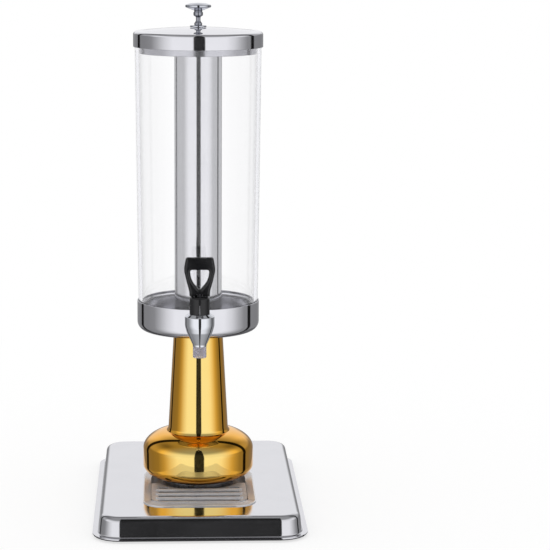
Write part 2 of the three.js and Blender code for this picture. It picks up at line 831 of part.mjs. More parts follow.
function makeTapBonnet() {
  const stemBore = stemRadius + shaftGap;
  const bonnet = turnedRing([
    [bonnetBoreRadius, tapBodyHeight],
    [bonnetRadius, tapBodyHeight],
    [bonnetRadius, bonnetTop - bonnetChamfer],
    [bonnetRadius - bonnetChamfer, bonnetTop],
    [stemBore, bonnetTop],
    [stemBore, bonnetCeiling],
    [bonnetBoreRadius, bonnetCeiling],
  ], smallSegments);
  place('tap_bonnet', bonnet, 'blackPlastic', tap);
}

// A ring round the shank, between two places along Y
function shankRing(outer, low, high) {
  const bar = barAlongY(outer, low, high, tapShankHeight);
  const bore = barAlongY(tapShankRadius + fitGap, low - overrun, high + overrun, tapShankHeight);
  return cutFrom(bar, bore);
}

function makeTapShank() {
  const low = tapSocketEnd + fitGap;
  const high = bowlWall + tapShankInside;
  const shank = cutFrom(
    barAlongY(tapShankRadius, low, high, tapShankHeight),
    barAlongY(tapShankBore, low - overrun, high + overrun, tapShankHeight),
  );
  place('tap_shank', shank, 'zincSteel', tap);
  const outerWasher = shankRing(tapWasherRadius, tapBossEnd, tapBossEnd + tapWasherThickness);
  place('tap_outer_washer', outerWasher, 'rubber', tap);
  const wallReach = Math.sqrt(bowlInnerRadius ** 2 - tapInnerWasherRadius ** 2);
  const washerStart = tapReach - wallReach + fitGap;
  const nutStart = washerStart + tapWasherThickness;
  const innerWasher = shankRing(tapInnerWasherRadius, washerStart, nutStart);
  place('tap_inner_washer', innerWasher, 'silicone', tap);
  const lockNut = nut(tapLockNutFlats, tapShankRadius + fitGap, nutStart, nutStart + tapLockNutThickness);
  place('tap_lock_nut', lockNut.rotateX(-Math.PI / 2).translate(0, 0, tapShankHeight), 'zincSteel', tap);
}

function makeTapValve() {
  const cupBore = stemRadius + fitGap;
  const cupBoreFloor = seatCupTop - seatCupHeight * cupBoreShare;
  const cup = turned([
    [0, seatCupBottom],
    [seatCupRadius, seatCupBottom],
    [seatCupRadius, seatCupTop - seatCupChamfer],
    [seatCupRadius - seatCupChamfer, seatCupTop],
    [cupBore, seatCupTop],
    [cupBore, cupBoreFloor],
    [0, cupBoreFloor],
  ], smallSegments);
  place('tap_seat_cup', cup, 'rubber', tap);
  const stem = turned([
    [0, cupBoreFloor + fitGap],
    [stemRadius, cupBoreFloor + fitGap],
    [stemRadius, stemCollarTop - stemCollarThickness],
    [stemCollarRadius, stemCollarTop - stemCollarThickness],
    [stemCollarRadius, stemCollarTop],
    [stemRadius, stemCollarTop],
    [stemRadius, bonnetTop],
    [stemNeckRadius, bonnetTop],
    [stemNeckRadius, handlePinAxis + stemHeadHeight],
    [0, handlePinAxis + stemHeadHeight],
  ], smallSegments);
  place('tap_stem', cutFrom(stem, barAlongX(handlePinRadius + fitGap, handleWidestWidth)), 'zincSteel', tap);
}

// Round bar along X through the pin's axis
function barAlongX(radius, length) {
  const bar = new THREE.CylinderGeometry(radius, radius, length, pinSegments).rotateZ(Math.PI / 2);
  return bar.translate(0, 0, handlePinAxis);
}

class Helix extends THREE.Curve {
  constructor(radius, bottom, top, turns) {
    super();
    Object.assign(this, { radius, bottom, top, turns });
  }

  getPoint(share, target = new THREE.Vector3()) {
    const angle = share * this.turns * Math.PI * 2;
    const height = this.bottom + (this.top - this.bottom) * share;
    return target.set(this.radius * Math.cos(angle), this.radius * Math.sin(angle), height);
  }
}

function makeTapSpring() {
  const radius = (stemRadius + bonnetBoreRadius) / 2;
  const bottom = stemCollarTop + fitGap + springWireRadius;
  const top = bonnetCeiling - fitGap - springWireRadius;
  const section = new THREE.Shape();
  for (let i = 0; i < springSides; i += 1) {
    const angle = (i * Math.PI * 2) / springSides;
    const corner = [springWireRadius * Math.cos(angle), springWireRadius * Math.sin(angle)];
    section[i ? 'lineTo' : 'moveTo'](...corner);
  }
  const extrudePath = new Helix(radius, bottom, top, springTurns);
  const steps = springTurns * springStepsPerTurn;
  place('tap_spring', new THREE.ExtrudeGeometry(section, { steps, extrudePath }), 'zincSteel', tap);
}

// Half outline of the handle, mirrored about its middle; heights from the handle's foot
function handleOutline() {
  const foot = handleFootWidth / 2;
  const widest = handleWidestWidth / 2;
  const top = handleTopWidth / 2;
  const lowBend = handleFootHeight + (handleWidestHeight - handleFootHeight) * handleBendShare;
  const shape = new THREE.Shape();
  shape.moveTo(-foot, 0);
  shape.lineTo(foot, 0);
  shape.lineTo(foot, handleFootHeight);
  shape.bezierCurveTo(foot, lowBend, widest, lowBend, widest, handleWidestHeight);
  shape.quadraticCurveTo(widest, handleHeight - handleCornerRadius, top, handleHeight - handleCornerRadius);
  shape.quadraticCurveTo(top, handleHeight, top - handleCornerRadius, handleHeight);
  shape.lineTo(handleCornerRadius - top, handleHeight);
  shape.quadraticCurveTo(-top, handleHeight, -top, handleHeight - handleCornerRadius);
  shape.quadraticCurveTo(-widest, handleHeight - handleCornerRadius, -widest, handleWidestHeight);
  shape.bezierCurveTo(-widest, lowBend, -foot, lowBend, -foot, handleFootHeight);
  return shape;
}

// Finger opening: flat on top, drawn in to a narrow bottom between the arms
function handleOpening() {
  const side = handleHoleWidth / 2;
  const corner = handleHoleCornerRadius;
  const point = handleHolePointWidth / 2;
  const bend = handleHoleBottom + (handleHoleTop - handleHoleBottom) * handleBendShare;
  const hole = new THREE.Path();
  hole.moveTo(point, handleHoleBottom);
  hole.lineTo(-point, handleHoleBottom);
  hole.quadraticCurveTo(-side, bend, -side, handleHoleTop - corner);
  hole.quadraticCurveTo(-side, handleHoleTop, corner - side, handleHoleTop);
  hole.lineTo(side - corner, handleHoleTop);
  hole.quadraticCurveTo(side, handleHoleTop, side, handleHoleTop - corner);
  hole.quadraticCurveTo(side, bend, point, handleHoleBottom);
  return hole;
}

function makeTapHandle() {
  const shape = handleOutline();
  shape.holes.push(handleOpening());
  const loop = new THREE.ExtrudeGeometry(shape, {
    depth: handleDepth - handleBevel * 2,
    bevelThickness: handleBevel,
    bevelSize: handleBevel,
    bevelOffset: -handleBevel,
    bevelSegments: 1,
    curveSegments: cornerSteps,
  });
  loop.rotateX(Math.PI / 2).translate(0, handleDepth / 2 - handleBevel, handleBottom);
  const slot = stemRadius + shaftGap;
  const pocket = block(
    [-slot, -handleDepth, handleBottom - overrun],
    [slot, handleDepth, handleBottom + handlePocketHeight],
  );
  const pinHole = barAlongX(handlePinRadius + fitGap, handleWidestWidth);
  place('tap_handle', cutFrom(loop, pocket, pinHole), 'blackPlastic', tap);
  const pinLength = handleFootWidth - handlePinInset * 2;
  place('tap_handle_pin', barAlongX(handlePinRadius, pinLength), 'zincSteel', tap);
}

makeFeet();
makeBasePlate();
makeBaseCover();
makeDripWell();
makeDripTray();
makeDripGrid();
makeBaseStack();
makePedestalBulb();
makePedestalColumn();
makeTieRod();
makeTankBowl();
makeTank();
makeIceTube();
makeLidCover();
makeLidCollar();
makeKnob();
makeTapBody();
makeTapNozzle();
makeTapBonnet();
makeTapShank();
makeTapValve();
makeTapSpring();
makeTapHandle();

export default dispenser;
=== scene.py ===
"""Looks of a glass beverage dispenser: tank, ice tube, lid and tap on a gold pedestal and a steel base.

Everything is in metres, +Z up, with the tower's axis at the origin and the tap towards -Y.
"""

import logging
import math
from collections.abc import Sequence
from dataclasses import dataclass, field, replace
from enum import Enum

import bmesh
import bpy
from mathutils import Euler, Matrix, Vector


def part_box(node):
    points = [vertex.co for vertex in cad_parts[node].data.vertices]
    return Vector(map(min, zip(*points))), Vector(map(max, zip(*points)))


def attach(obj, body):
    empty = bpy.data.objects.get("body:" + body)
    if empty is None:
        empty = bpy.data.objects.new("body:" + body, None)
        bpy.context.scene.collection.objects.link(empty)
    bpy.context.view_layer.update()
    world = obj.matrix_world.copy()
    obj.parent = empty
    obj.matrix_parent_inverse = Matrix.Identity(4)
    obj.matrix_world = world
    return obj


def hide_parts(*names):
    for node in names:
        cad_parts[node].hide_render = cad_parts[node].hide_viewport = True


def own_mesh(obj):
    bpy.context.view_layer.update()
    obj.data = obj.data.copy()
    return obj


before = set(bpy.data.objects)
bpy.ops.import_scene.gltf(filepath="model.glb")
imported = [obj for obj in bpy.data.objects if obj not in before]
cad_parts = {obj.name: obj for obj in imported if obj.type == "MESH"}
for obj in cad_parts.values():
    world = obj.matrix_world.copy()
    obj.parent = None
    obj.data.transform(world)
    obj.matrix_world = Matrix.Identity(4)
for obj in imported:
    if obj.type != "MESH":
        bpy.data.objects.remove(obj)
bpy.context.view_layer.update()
LOG = logging.getLogger("dispenser")

FULL_TURN = 2 * math.pi
QUARTER_TURN = math.pi / 2
FIT_GAP = 0.0003
CUT_OVERRUN = 0.002
SHARP_ANGLE = math.radians(32)
TURN_SEGMENTS = 144
TAP_SEGMENTS = 96
SMALL_SEGMENTS = 64
FILLET_STEPS = 7
SMALL_FILLET_STEPS = 3
FILLET_RUN_SHARE = 0.49
HOLD_RUN = 0.0003
MERGE_DISTANCE = 1e-6
WELD_DISTANCE = 1e-5
CLOUD_DETAIL = 3.0
FACING_BLEND = 0.5
GLOSS_SPAN = (0.3, 0.7)

Colour = tuple[float, float, float]
Pair = tuple[float, float]
Span = tuple[float, float]
Points = Sequence[Sequence[float]]
Outline = list[tuple[float, ...]]
Piece = bpy.types.Object
Socket = bpy.types.NodeSocket
Sockets = bpy.types.NodeOutputs


class Body(Enum):
    """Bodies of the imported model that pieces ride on."""

    BASE = "base"
    LID = "lid"
    HANDLE = "handle"
    GRID = "grid"


class Slot(Enum):
    """Material slots of the record."""

    POLISHED_STEEL = "polished_steel"
    BRUSHED_STEEL = "brushed_steel"
    GOLD = "gold_finish"
    CHROME = "chrome_plate"
    GLASS = "tank_glass"
    CLEAR_PLASTIC = "clear_plastic"
    BLACK_PLASTIC = "black_plastic"
    RUBBER = "black_rubber"
    SILICONE = "clear_silicone"
    PLATED_STEEL = "plated_steel"


class Grain(Enum):
    """Direction in which a metal surface was polished: round the axis or along X."""

    TURNED = "turned"
    STRAIGHT = "straight"


class Joining(Enum):
    """What a tool body does to a piece."""

    CUT = "DIFFERENCE"
    ADD = "UNION"


def grey(tone: float) -> Colour:
    """Returns a neutral colour."""
    return (tone, tone, tone)


class NodeSheet:
    """A node tree with short calls that add nodes and join them."""

    def __init__(self, tree: bpy.types.NodeTree) -> None:
        """Keeps the shader, world or geometry tree that the calls add to."""
        self.tree = tree

    def add(self, kind: str, inputs: dict | None = None, **settings: object) -> bpy.types.Node:
        """Adds one node.

        Args:
            kind: Blender's type name of the node.
            inputs: socket name or number to a value or to another node's output.
            **settings: properties of the node itself.

        Returns:
            The new node.
        """
        node = self.tree.nodes.new(kind)
        for name, value in settings.items():
            setattr(node, name, value)
        for key, value in (inputs or {}).items():
            self.feed(node.inputs[key], value)
        return node

    def feed(self, socket: Socket, value: object) -> None:
        """Links or sets a socket.

        Args:
            socket: input to fill.
            value: an output socket to link, a plain value, or red, green and blue of a full colour.
        """
        if isinstance(value, bpy.types.NodeSocket):
            self.tree.links.new(value, socket)
        elif socket.type == "RGBA":
            socket.default_value = (*value, 1.0)
        else:
            socket.default_value = value

    def maths(self, operation: str, *values: object) -> Socket:
        """Adds a Math node with its inputs in order and returns its result."""
        return self.add("ShaderNodeMath", dict(enumerate(values)), operation=operation).outputs[0]

    def product(self, first: object, *others: object) -> Socket:
        """Adds what multiplies values, in order.

        Args:
            first: the first value or socket.
            *others: the values or sockets that it is multiplied by.

        Returns:
            Their product.
        """
        for other in others:
            first = self.maths("MULTIPLY", first, other)
        return first

    def rest(self, share: object) -> Socket:
        """Adds what a share leaves of 1."""
        return self.maths("SUBTRACT", 1.0, share)

    def scaled(self, value: Socket, span: Span, start: float = 0.0, end: float = 1.0) -> Socket:
        """Maps a value smoothly from its span to the one between start and end."""
        spans = {"Value": value, "From Min": span[0], "From Max": span[1], "To Min": start, "To Max": end}
        return self.add("ShaderNodeMapRange", spans, interpolation_type="SMOOTHSTEP").outputs[0]

    def blend(self, share: object, first: object, second: object) -> Socket:
        """Mixes two colours, the first one at share 0 and the second one at share 1."""
        inputs = {0: share, 6: first, 7: second}
        return self.add("ShaderNodeMix", inputs, data_type="RGBA").outputs[2]

    def place(self) -> Socket:
        """Adds the place in the object's own coordinates."""
        return self.add("ShaderNodeTexCoord").outputs["Object"]

    def parts(self, vector: Socket) -> Sockets:
        """Adds what splits a vector into X, Y and Z."""
        return self.add("ShaderNodeSeparateXYZ", {0: vector}).outputs

    def vector(self, x: object, y: object, z: object) -> Socket:
        """Adds what joins X, Y and Z into a vector."""
        return self.add("ShaderNodeCombineXYZ", {0: x, 1: y, 2: z}).outputs[0]

    def length(self, vector: Socket) -> Socket:
        """Adds the length of a vector."""
        return self.add("ShaderNodeVectorMath", {0: vector}, operation="LENGTH").outputs["Value"]

    def radius(self) -> Socket:
        """Adds the distance from the Z axis in the object's own coordinates."""
        inputs = {0: self.place(), 1: (1.0, 1.0, 0.0)}
        return self.length(self.add("ShaderNodeVectorMath", inputs, operation="MULTIPLY").outputs[0])

    def facing(self) -> Socket:
        """Adds how far the surface turns away from the viewer."""
        return self.add("ShaderNodeLayerWeight", {"Blend": FACING_BLEND}).outputs["Facing"]

    def noise(self, place: Socket, scale: float, detail: float) -> Socket:
        """Adds noise from 0 to 1 at a place, with so many octaves of detail."""
        inputs = {"Vector": place, "Scale": scale, "Detail": detail}
        return self.add("ShaderNodeTexNoise", inputs).outputs[0]

    def clouds(self, per_metre: float, detail: float = CLOUD_DETAIL) -> Socket:
        """Adds even noise on the object's own coordinates."""
        return self.noise(self.place(), per_metre, detail)

    def bump(self, depth: float, height: Socket, **below: Socket) -> Socket:
        """Adds a bump of a depth in metres, over the normal of another one where that is given."""
        inputs = {"Distance": depth, "Height": height, **below}
        return self.add("ShaderNodeBump", inputs).outputs[0]


@dataclass(frozen=True)
class Finish:
    """A surface finish, whose colour drifts to its shade in soft clouds."""

    name: str
    slot: Slot
    colour: Colour
    shade: Colour
    roughness: Span

    def material(self) -> bpy.types.Material:
        """Gives the finish's material, made on first use.

        Returns:
            The material, the same one on each call.
        """
        found = bpy.data.materials.get(self.name)
        if found:
            return found
        made = bpy.data.materials.new(self.name)
        made.use_nodes = True
        sheet = NodeSheet(made.node_tree)
        shader = made.node_tree.nodes["Principled BSDF"]
        for socket, value in self.paint(sheet).items():
            sheet.feed(shader.inputs[socket], value)
        return made

    def paint(self, sheet: NodeSheet) -> dict[str, object]:
        """Gives the shader's inputs from nodes on the sheet; each kind of finish has its own."""
        raise NotImplementedError


@dataclass(frozen=True)
class SatinShadeZone:
    """Duller zone of a turned piece, within a radius of its axis and under a height that it is given; its
    colour is painted shade, darker where the surface turns away from the viewer.
    """

    within: float = 0.0
    under: float = 10.0
    roughness: float = 0.16
    # Colour where the zone faces the viewer, and the darker edge colour where it turns away: painted shade.
    colour: Colour = (0.9, 0.9, 0.94)
    edge: Colour = (0.3, 0.3, 0.33)
    edge_span: Span = (0.42, 0.7)

    def lay(self, sheet: NodeSheet, colour: Socket, roughness: Socket) -> tuple[Socket, Socket]:
        """Lays the zone, with its painted shade, over the rest of a finish.

        Args:
            sheet: the material's nodes.
            colour: colour outside the zone.
            roughness: roughness outside the zone.

        Returns:
            The colour and the roughness with the zone in them.
        """
        height = sheet.parts(sheet.place())[2]
        near = sheet.maths("LESS_THAN", sheet.radius(), self.within)
        inside = sheet.product(near, sheet.maths("LESS_THAN", height, self.under))
        # Painted shade: the zone's colour darkens to its edge colour where the surface turns away from the
        # viewer.
        satin = sheet.blend(sheet.scaled(sheet.facing(), self.edge_span), self.colour, self.edge)
        least = sheet.product(inside, self.roughness)
        return sheet.blend(inside, colour, satin), sheet.maths("MAXIMUM", roughness, least)


@dataclass(frozen=True)
class MetalFinish(Finish):
    """Metal with a polishing grain, slow waves of the sheet and uneven polish."""

    grain: Grain = Grain.TURNED
    grain_per_metre: float = 1500.0
    grain_detail: float = 4.0
    grain_depth: float = 0.000004
    run_share: float = 0.012
    wave_per_metre: float = 14.0
    wave_detail: float = 1.0
    wave_depth: float = 0.00012
    clouds_per_wave: float = 2.0
    uneven_span: Span = (0.1, 0.5)
    metallic: float = 1.0
    # Painted shade: colour where the surface turns away from the viewer, blended in over the edge span.
    edge: Colour | None = None
    edge_span: Span = (0.05, 0.26)
    satin: SatinShadeZone | None = None

    def grain_place(self, sheet: NodeSheet) -> Socket:
        """Gives coordinates that stretch noise into polishing lines.

        Args:
            sheet: the material's nodes.

        Returns:
            The stretched coordinates.
        """
        if self.grain is Grain.STRAIGHT:
            inputs = {"Vector": sheet.place(), "Scale": (self.run_share, 1.0, 1.0)}
            return sheet.add("ShaderNodeMapping", inputs).outputs[0]
        x, y, z = sheet.parts(sheet.place())
        around = sheet.product(sheet.maths("ARCTAN2", x, y), self.run_share)
        return sheet.vector(sheet.radius(), around, z)

    def paint(self, sheet: NodeSheet) -> dict[str, object]:
        """Paints grain, waves and uneven polish, and the painted shade of the edge colour and the satin zone
        where they are given.

        Args:
            sheet: the material's nodes.

        Returns:
            Values and sockets for the shader's inputs.
        """
        lines = sheet.noise(self.grain_place(sheet), self.grain_per_metre, self.grain_detail)
        clouds = sheet.clouds(self.wave_per_metre * self.clouds_per_wave)
        waves = sheet.clouds(self.wave_per_metre, self.wave_detail)
        colour = sheet.blend(clouds, self.colour, self.shade)
        roughness = sheet.scaled(sheet.product(clouds, lines), self.uneven_span, *self.roughness)
        # Painted shade: the colour drifts to the edge colour where the surface turns away from the viewer.
        if self.edge:
            colour = sheet.blend(sheet.scaled(sheet.facing(), self.edge_span), colour, self.edge)
        if self.satin:
            colour, roughness = self.satin.lay(sheet, colour, roughness)
        return {
            "Base Color": colour,
            "Roughness": roughness,
            "Normal": sheet.bump(self.grain_depth, lines, Normal=sheet.bump(self.wave_depth, waves)),
            "Metallic": self.metallic,
        }


@dataclass(frozen=True)
class ClearFinish(Finish):
    """Glass or clear plastic with a faint tint and a faintly wavy surface."""

    index: float
    transmission: float
    wave_per_metre: float
    wave_depth: float

    def paint(self, sheet: NodeSheet) -> dict[str, object]:
        """Paints a tint, a faint haze and waves.

        Args:
            sheet: the material's nodes.

        Returns:
            Values and sockets for the shader's inputs.
        """
        clouds = sheet.clouds(self.wave_per_metre)
        return {
            "Base Color": sheet.blend(clouds, self.colour, self.shade),
            "Roughness": sheet.scaled(clouds, GLOSS_SPAN, *self.roughness),
            "Normal": sheet.bump(self.wave_depth, clouds),
            "IOR": self.index,
            "Transmission Weight": self.transmission,
        }


@dataclass(frozen=True)
class MouldedFinish(Finish):
    """Moulded plastic or rubber with a fine skin, faint flow marks and uneven gloss."""

    skin_per_metre: float
    skin_depth: float
    skin_detail: float = 2.0
    specular: float = 0.5
    flow_per_metre: float = 45.0

    def paint(self, sheet: NodeSheet) -> dict[str, object]:
        """Paints the skin, flow marks and uneven gloss.

        Args:
            sheet: the material's nodes.

        Returns:
            Values and sockets for the shader's inputs.
        """
        skin = sheet.clouds(self.skin_per_metre, self.skin_detail)
        flow = sheet.clouds(self.flow_per_metre)
        return {
            "Base Color": sheet.blend(flow, self.colour, self.shade),
            "Roughness": sheet.scaled(flow, GLOSS_SPAN, *self.roughness),
            "Normal": sheet.bump(self.skin_depth, skin),
            "Specular IOR Level": self.specular,
        }


POLISHED = MetalFinish(
    "polished steel", Slot.POLISHED_STEEL, (0.82, 0.82, 0.85), (0.76, 0.76, 0.8), (0.05, 0.1),
)
DECK_POLISH = MetalFinish(
    "deck polish", Slot.POLISHED_STEEL, (0.77, 0.77, 0.8), (0.72, 0.72, 0.75), (0.07, 0.12),
    grain=Grain.STRAIGHT, grain_depth=0.000003, wave_depth=0.0001,
)
WELL_POLISH = MetalFinish(
    "well polish", Slot.POLISHED_STEEL, (0.82, 0.82, 0.84), (0.76, 0.76, 0.78), (0.16, 0.28),
    grain=Grain.STRAIGHT, metallic=0.45,
)
TUBE_POLISH = MetalFinish(
    "tube polish", Slot.POLISHED_STEEL, (0.84, 0.84, 0.86), (0.79, 0.79, 0.82), (0.08, 0.14),
)
SATIN = MetalFinish(
    "satin steel", Slot.POLISHED_STEEL, (0.66, 0.66, 0.7), (0.58, 0.58, 0.62), (0.16, 0.26),
)
BRUSHED = MetalFinish(
    "brushed steel", Slot.BRUSHED_STEEL, (0.62, 0.62, 0.65), (0.5, 0.5, 0.53), (0.22, 0.4),
    grain=Grain.STRAIGHT, grain_depth=0.00001,
)
BRUSHED_ROUND = MetalFinish(
    "turned steel", Slot.BRUSHED_STEEL, (0.56, 0.56, 0.59), (0.47, 0.47, 0.5), (0.18, 0.32),
    grain_depth=0.00001,
)
GRID_STEEL = replace(
    BRUSHED, name="grid steel", colour=(0.72, 0.72, 0.74), shade=(0.6, 0.6, 0.63), metallic=0.4,
)
# The gold's edge colour is painted shade: deeper, darker gold where the surface turns away from the viewer.
GOLD = MetalFinish(
    "gold finish", Slot.GOLD, (1.0, 0.77, 0.28), (1.0, 0.73, 0.23), (0.03, 0.07),
    grain_depth=0.000002, wave_depth=0.00008, edge=(1.0, 0.5, 0.055),
)
CHROME = MetalFinish(
    "chrome plate", Slot.CHROME, (0.84, 0.86, 0.9), (0.8, 0.82, 0.87), (0.02, 0.05),
    grain_depth=0.000001, wave_per_metre=30.0, wave_depth=0.00005,
)
# Darker copy of chrome for the knob: painted shade.
KNOB_CHROME = replace(
    CHROME, name="knob chrome", colour=(0.66, 0.68, 0.73), shade=(0.6, 0.62, 0.67),
)
# Duller polish under the knob's cap, with dark colours there as painted shade.
KNOB_SATIN_SHADE = SatinShadeZone(roughness=0.1, colour=(0.36, 0.37, 0.41), edge=(0.2, 0.2, 0.23))
PLATED = MetalFinish(
    "plated steel", Slot.PLATED_STEEL, (0.5, 0.51, 0.53), (0.4, 0.41, 0.42), (0.25, 0.45),
    grain_depth=0.000008,
)
# Darker than the plated steel: painted shade on the base plate, for the dark line under the flange; also
# used on the tap's stem.
DARK_PLATE_SHADE = MetalFinish(
    "dark plate", Slot.PLATED_STEEL, (0.1, 0.1, 0.11), (0.07, 0.07, 0.075), (0.4, 0.6),
    grain_depth=0.000008,
)
GLASS = ClearFinish(
    "tank glass", Slot.GLASS, (0.998, 0.998, 1.0), (0.994, 0.994, 0.998), (0.0, 0.003),
    index=1.5, transmission=1.0, wave_per_metre=9.0, wave_depth=0.00001,
)
CLEAR = ClearFinish(
    "clear spout plastic", Slot.CLEAR_PLASTIC, (0.74, 0.72, 0.8), (0.68, 0.66, 0.75), (0.24, 0.34),
    index=1.47, transmission=0.6, wave_per_metre=60.0, wave_depth=0.00002,
)
BLACK = MouldedFinish(
    "black plastic", Slot.BLACK_PLASTIC, (0.009, 0.009, 0.01), (0.014, 0.014, 0.016), (0.16, 0.28),
    skin_per_metre=2600.0, skin_depth=0.000006,
)
RUBBER = MouldedFinish(
    "black rubber", Slot.RUBBER, (0.018, 0.018, 0.02), (0.028, 0.028, 0.03), (0.6, 0.85),
    skin_per_metre=3200.0, skin_depth=0.00003, specular=0.3,
)
SILICONE = MouldedFinish(
    "clear silicone", Slot.SILICONE, (0.72, 0.72, 0.75), (0.64, 0.64, 0.68), (0.35, 0.55),
    skin_per_metre=2400.0, skin_depth=0.00001,
)


def softened(corners: Points, closed: bool = False, steps: int = FILLET_STEPS) -> Outline:
    """Rounds the corners of an outline with true arcs, and keeps the straights beside them flat in shading.

    Args:
        corners: two or three coordinates of each corner, then how far it is rounded.
        closed: whether the last corner leads back to the first.
        steps: flats on each rounded corner.

    Returns:
        The points of the rounded outline.
    """
    points: Outline = []
    count = len(corners)
    for index, (*place, fillet) in enumerate(corners):
        ends_here = not closed and index in (0, count - 1)
        if ends_here or fillet <= 0:
            points.append(tuple(place))
            continue
        here = Vector(place)
        back = Vector(corners[index - 1][:-1]) - here
        ahead = Vector(corners[(index + 1) % count][:-1]) - here
        half = back.angle(ahead) / 2
        longest = min(back.length, ahead.length) * FILLET_RUN_SHARE
        run = min(fillet / math.tan(half), longest)
        start = here + back.normalized() * run
        end = here + ahead.normalized() * run
        # With this weight on its middle point, the curve from start to end is a true arc.
        weight = math.sin(half)
        hold_back = min(HOLD_RUN, (back.length / 2 - run) / 2)
        hold_ahead = min(HOLD_RUN, (ahead.length / 2 - run) / 2)
        points.append(tuple(start + back.normalized() * hold_back))
        for step in range(steps + 1):
            along = step / steps
            shares = ((1 - along) ** 2, 2 * along * (1 - along) * weight, along ** 2)
            mixed = start * shares[0] + here * shares[1] + end * shares[2]
            points.append(tuple(mixed / sum(shares)))
        points.append(tuple(end + ahead.normalized() * hold_ahead))
    return points


def both_sides(right: Points) -> Outline:
    """Adds the mirrored left half to the right half of an outline."""
    return [*right, *((-x, *others) for x, *others in reversed(right))]


def shown(name: str, data: bpy.types.ID) -> Piece:
    """Puts a mesh, curve or camera in the scene.

    Args:
        name: name of the object.
        data: what it shows.

    Returns:
        The new object.
    """
    made = bpy.data.objects.new(name, data)
    bpy.context.scene.collection.objects.link(made)
    return made


def mesh_object(name: str, points: Sequence, edges: Sequence, faces: Sequence) -> Piece:
    """Makes a mesh object in the scene.

    Args:
        name: name of the piece.
        points: its corners.
        edges: its loose edges.
        faces: its faces.

    Returns:
        The new object.
    """
    mesh = bpy.data.meshes.new(name)
    mesh.from_pydata(points, edges, faces)
    mesh.update()
    return shown(name, mesh)


def baked(piece: Piece) -> Piece:
    """Turns a curve or a piece with live modifiers into a plain mesh of the same name.

    Args:
        piece: object whose shape is kept.

    Returns:
        The plain mesh object.
    """
    bpy.context.view_layer.update()
    graph = bpy.context.evaluated_depsgraph_get()
    mesh = bpy.data.meshes.new_from_object(piece.evaluated_get(graph), depsgraph=graph)
    name = piece.name
    bpy.data.objects.remove(piece, do_unlink=True)
    mesh.name = name
    return shown(name, mesh)


def smoothed(piece: Piece) -> Piece:
    """Shades a piece smooth except over its sharp edges.

    Args:
        piece: mesh object to shade.

    Returns:
        The same piece.
    """
    piece.data.shade_smooth()
    piece.data.set_sharp_from_angle(angle=SHARP_ANGLE)
    return piece


class FormTree:
    """Geometry tree with named inputs that ends in real faces with a finish."""

    name: str
    sockets: dict[str, str]

    def grow(self, sheet: NodeSheet, given: Sockets) -> Socket:
        """Gives the geometry from nodes on the sheet and the given inputs; each tree has its own."""
        raise NotImplementedError

    def tree(self) -> bpy.types.NodeTree:
        """Gives the tree, made on first use.

        Returns:
            The geometry tree, the same one on each call.
        """
        found = bpy.data.node_groups.get(self.name)
        if found:
            return found
        made = bpy.data.node_groups.new(self.name, "GeometryNodeTree")
        for name, kind in self.sockets.items():
            made.interface.new_socket(name, in_out="INPUT", socket_type=kind)
        made.interface.new_socket("Result", in_out="OUTPUT", socket_type="NodeSocketGeometry")
        sheet = NodeSheet(made)
        given = sheet.add("NodeGroupInput").outputs
        real = sheet.add("GeometryNodeRealizeInstances", {0: self.grow(sheet, given)}).outputs[0]
        worn = {"Geometry": real, "Material": given["Finish"]}
        sheet.add("NodeGroupOutput", {0: sheet.add("GeometryNodeSetMaterial", worn).outputs[0]})
        return made

    def run(self, piece: Piece, values: dict[str, object]) -> Piece:
        """Runs the tree on a piece and leaves a plain mesh.

        Args:
            piece: object that the tree works on.
            values: the tree's inputs by name.

        Returns:
            The plain result under the piece's name.
        """
        modifier = piece.modifiers.new(self.name, "NODES")
        modifier.node_group = self.tree()
        for item in modifier.node_group.interface.items_tree:
            if item.in_out == "INPUT" and item.name in values:
                modifier[item.identifier] = values[item.name]
        return smoothed(baked(piece))


class TurningTree(FormTree):
    """Turns an outline in the XZ plane about the Z axis."""

    name = "turned form"
    sockets = {"Outline": "NodeSocketGeometry", "Segments": "NodeSocketInt", "Finish": "NodeSocketMaterial"}

    def grow(self, sheet: NodeSheet, given: Sockets) -> Socket:
        """Places a grid's columns round the axis.

        Args:
            sheet: the tree's nodes.
            given: the tree's inputs.

        Returns:
            The turned geometry.
        """
        outline, segments = given["Outline"], given["Segments"]
        size = sheet.add("GeometryNodeAttributeDomainSize", {0: outline}, component="MESH")
        count = size.outputs["Point Count"]
        columns = sheet.maths("ADD", segments, 1)
        grid = sheet.add("GeometryNodeMeshGrid", {"Vertices X": columns, "Vertices Y": count})
        index = sheet.add("GeometryNodeInputIndex").outputs[0]
        row = sheet.maths("MODULO", index, count)
        column = sheet.maths("FLOOR", sheet.maths("DIVIDE", index, count))
        turn = sheet.product(sheet.maths("DIVIDE", column, segments), FULL_TURN)
        looked_up = {"Geometry": outline, "Index": row}
        sample = sheet.add("GeometryNodeSampleIndex", looked_up, data_type="FLOAT_VECTOR")
        value = next(socket for socket in sample.inputs if socket.name == "Value" and socket.enabled)
        sheet.feed(value, sheet.add("GeometryNodeInputPosition").outputs[0])
        radius, _, height = sheet.parts(next(socket for socket in sample.outputs if socket.enabled))
        x = sheet.product(radius, sheet.maths("COSINE", turn))
        y = sheet.product(radius, sheet.maths("SINE", turn))
        placing = {"Geometry": grid.outputs[0], "Position": sheet.vector(x, y, height)}
        placed = sheet.add("GeometryNodeSetPosition", placing).outputs[0]
        merging = {"Geometry": placed, "Distance": MERGE_DISTANCE}
        return sheet.add("GeometryNodeMergeByDistance", merging).outputs[0]


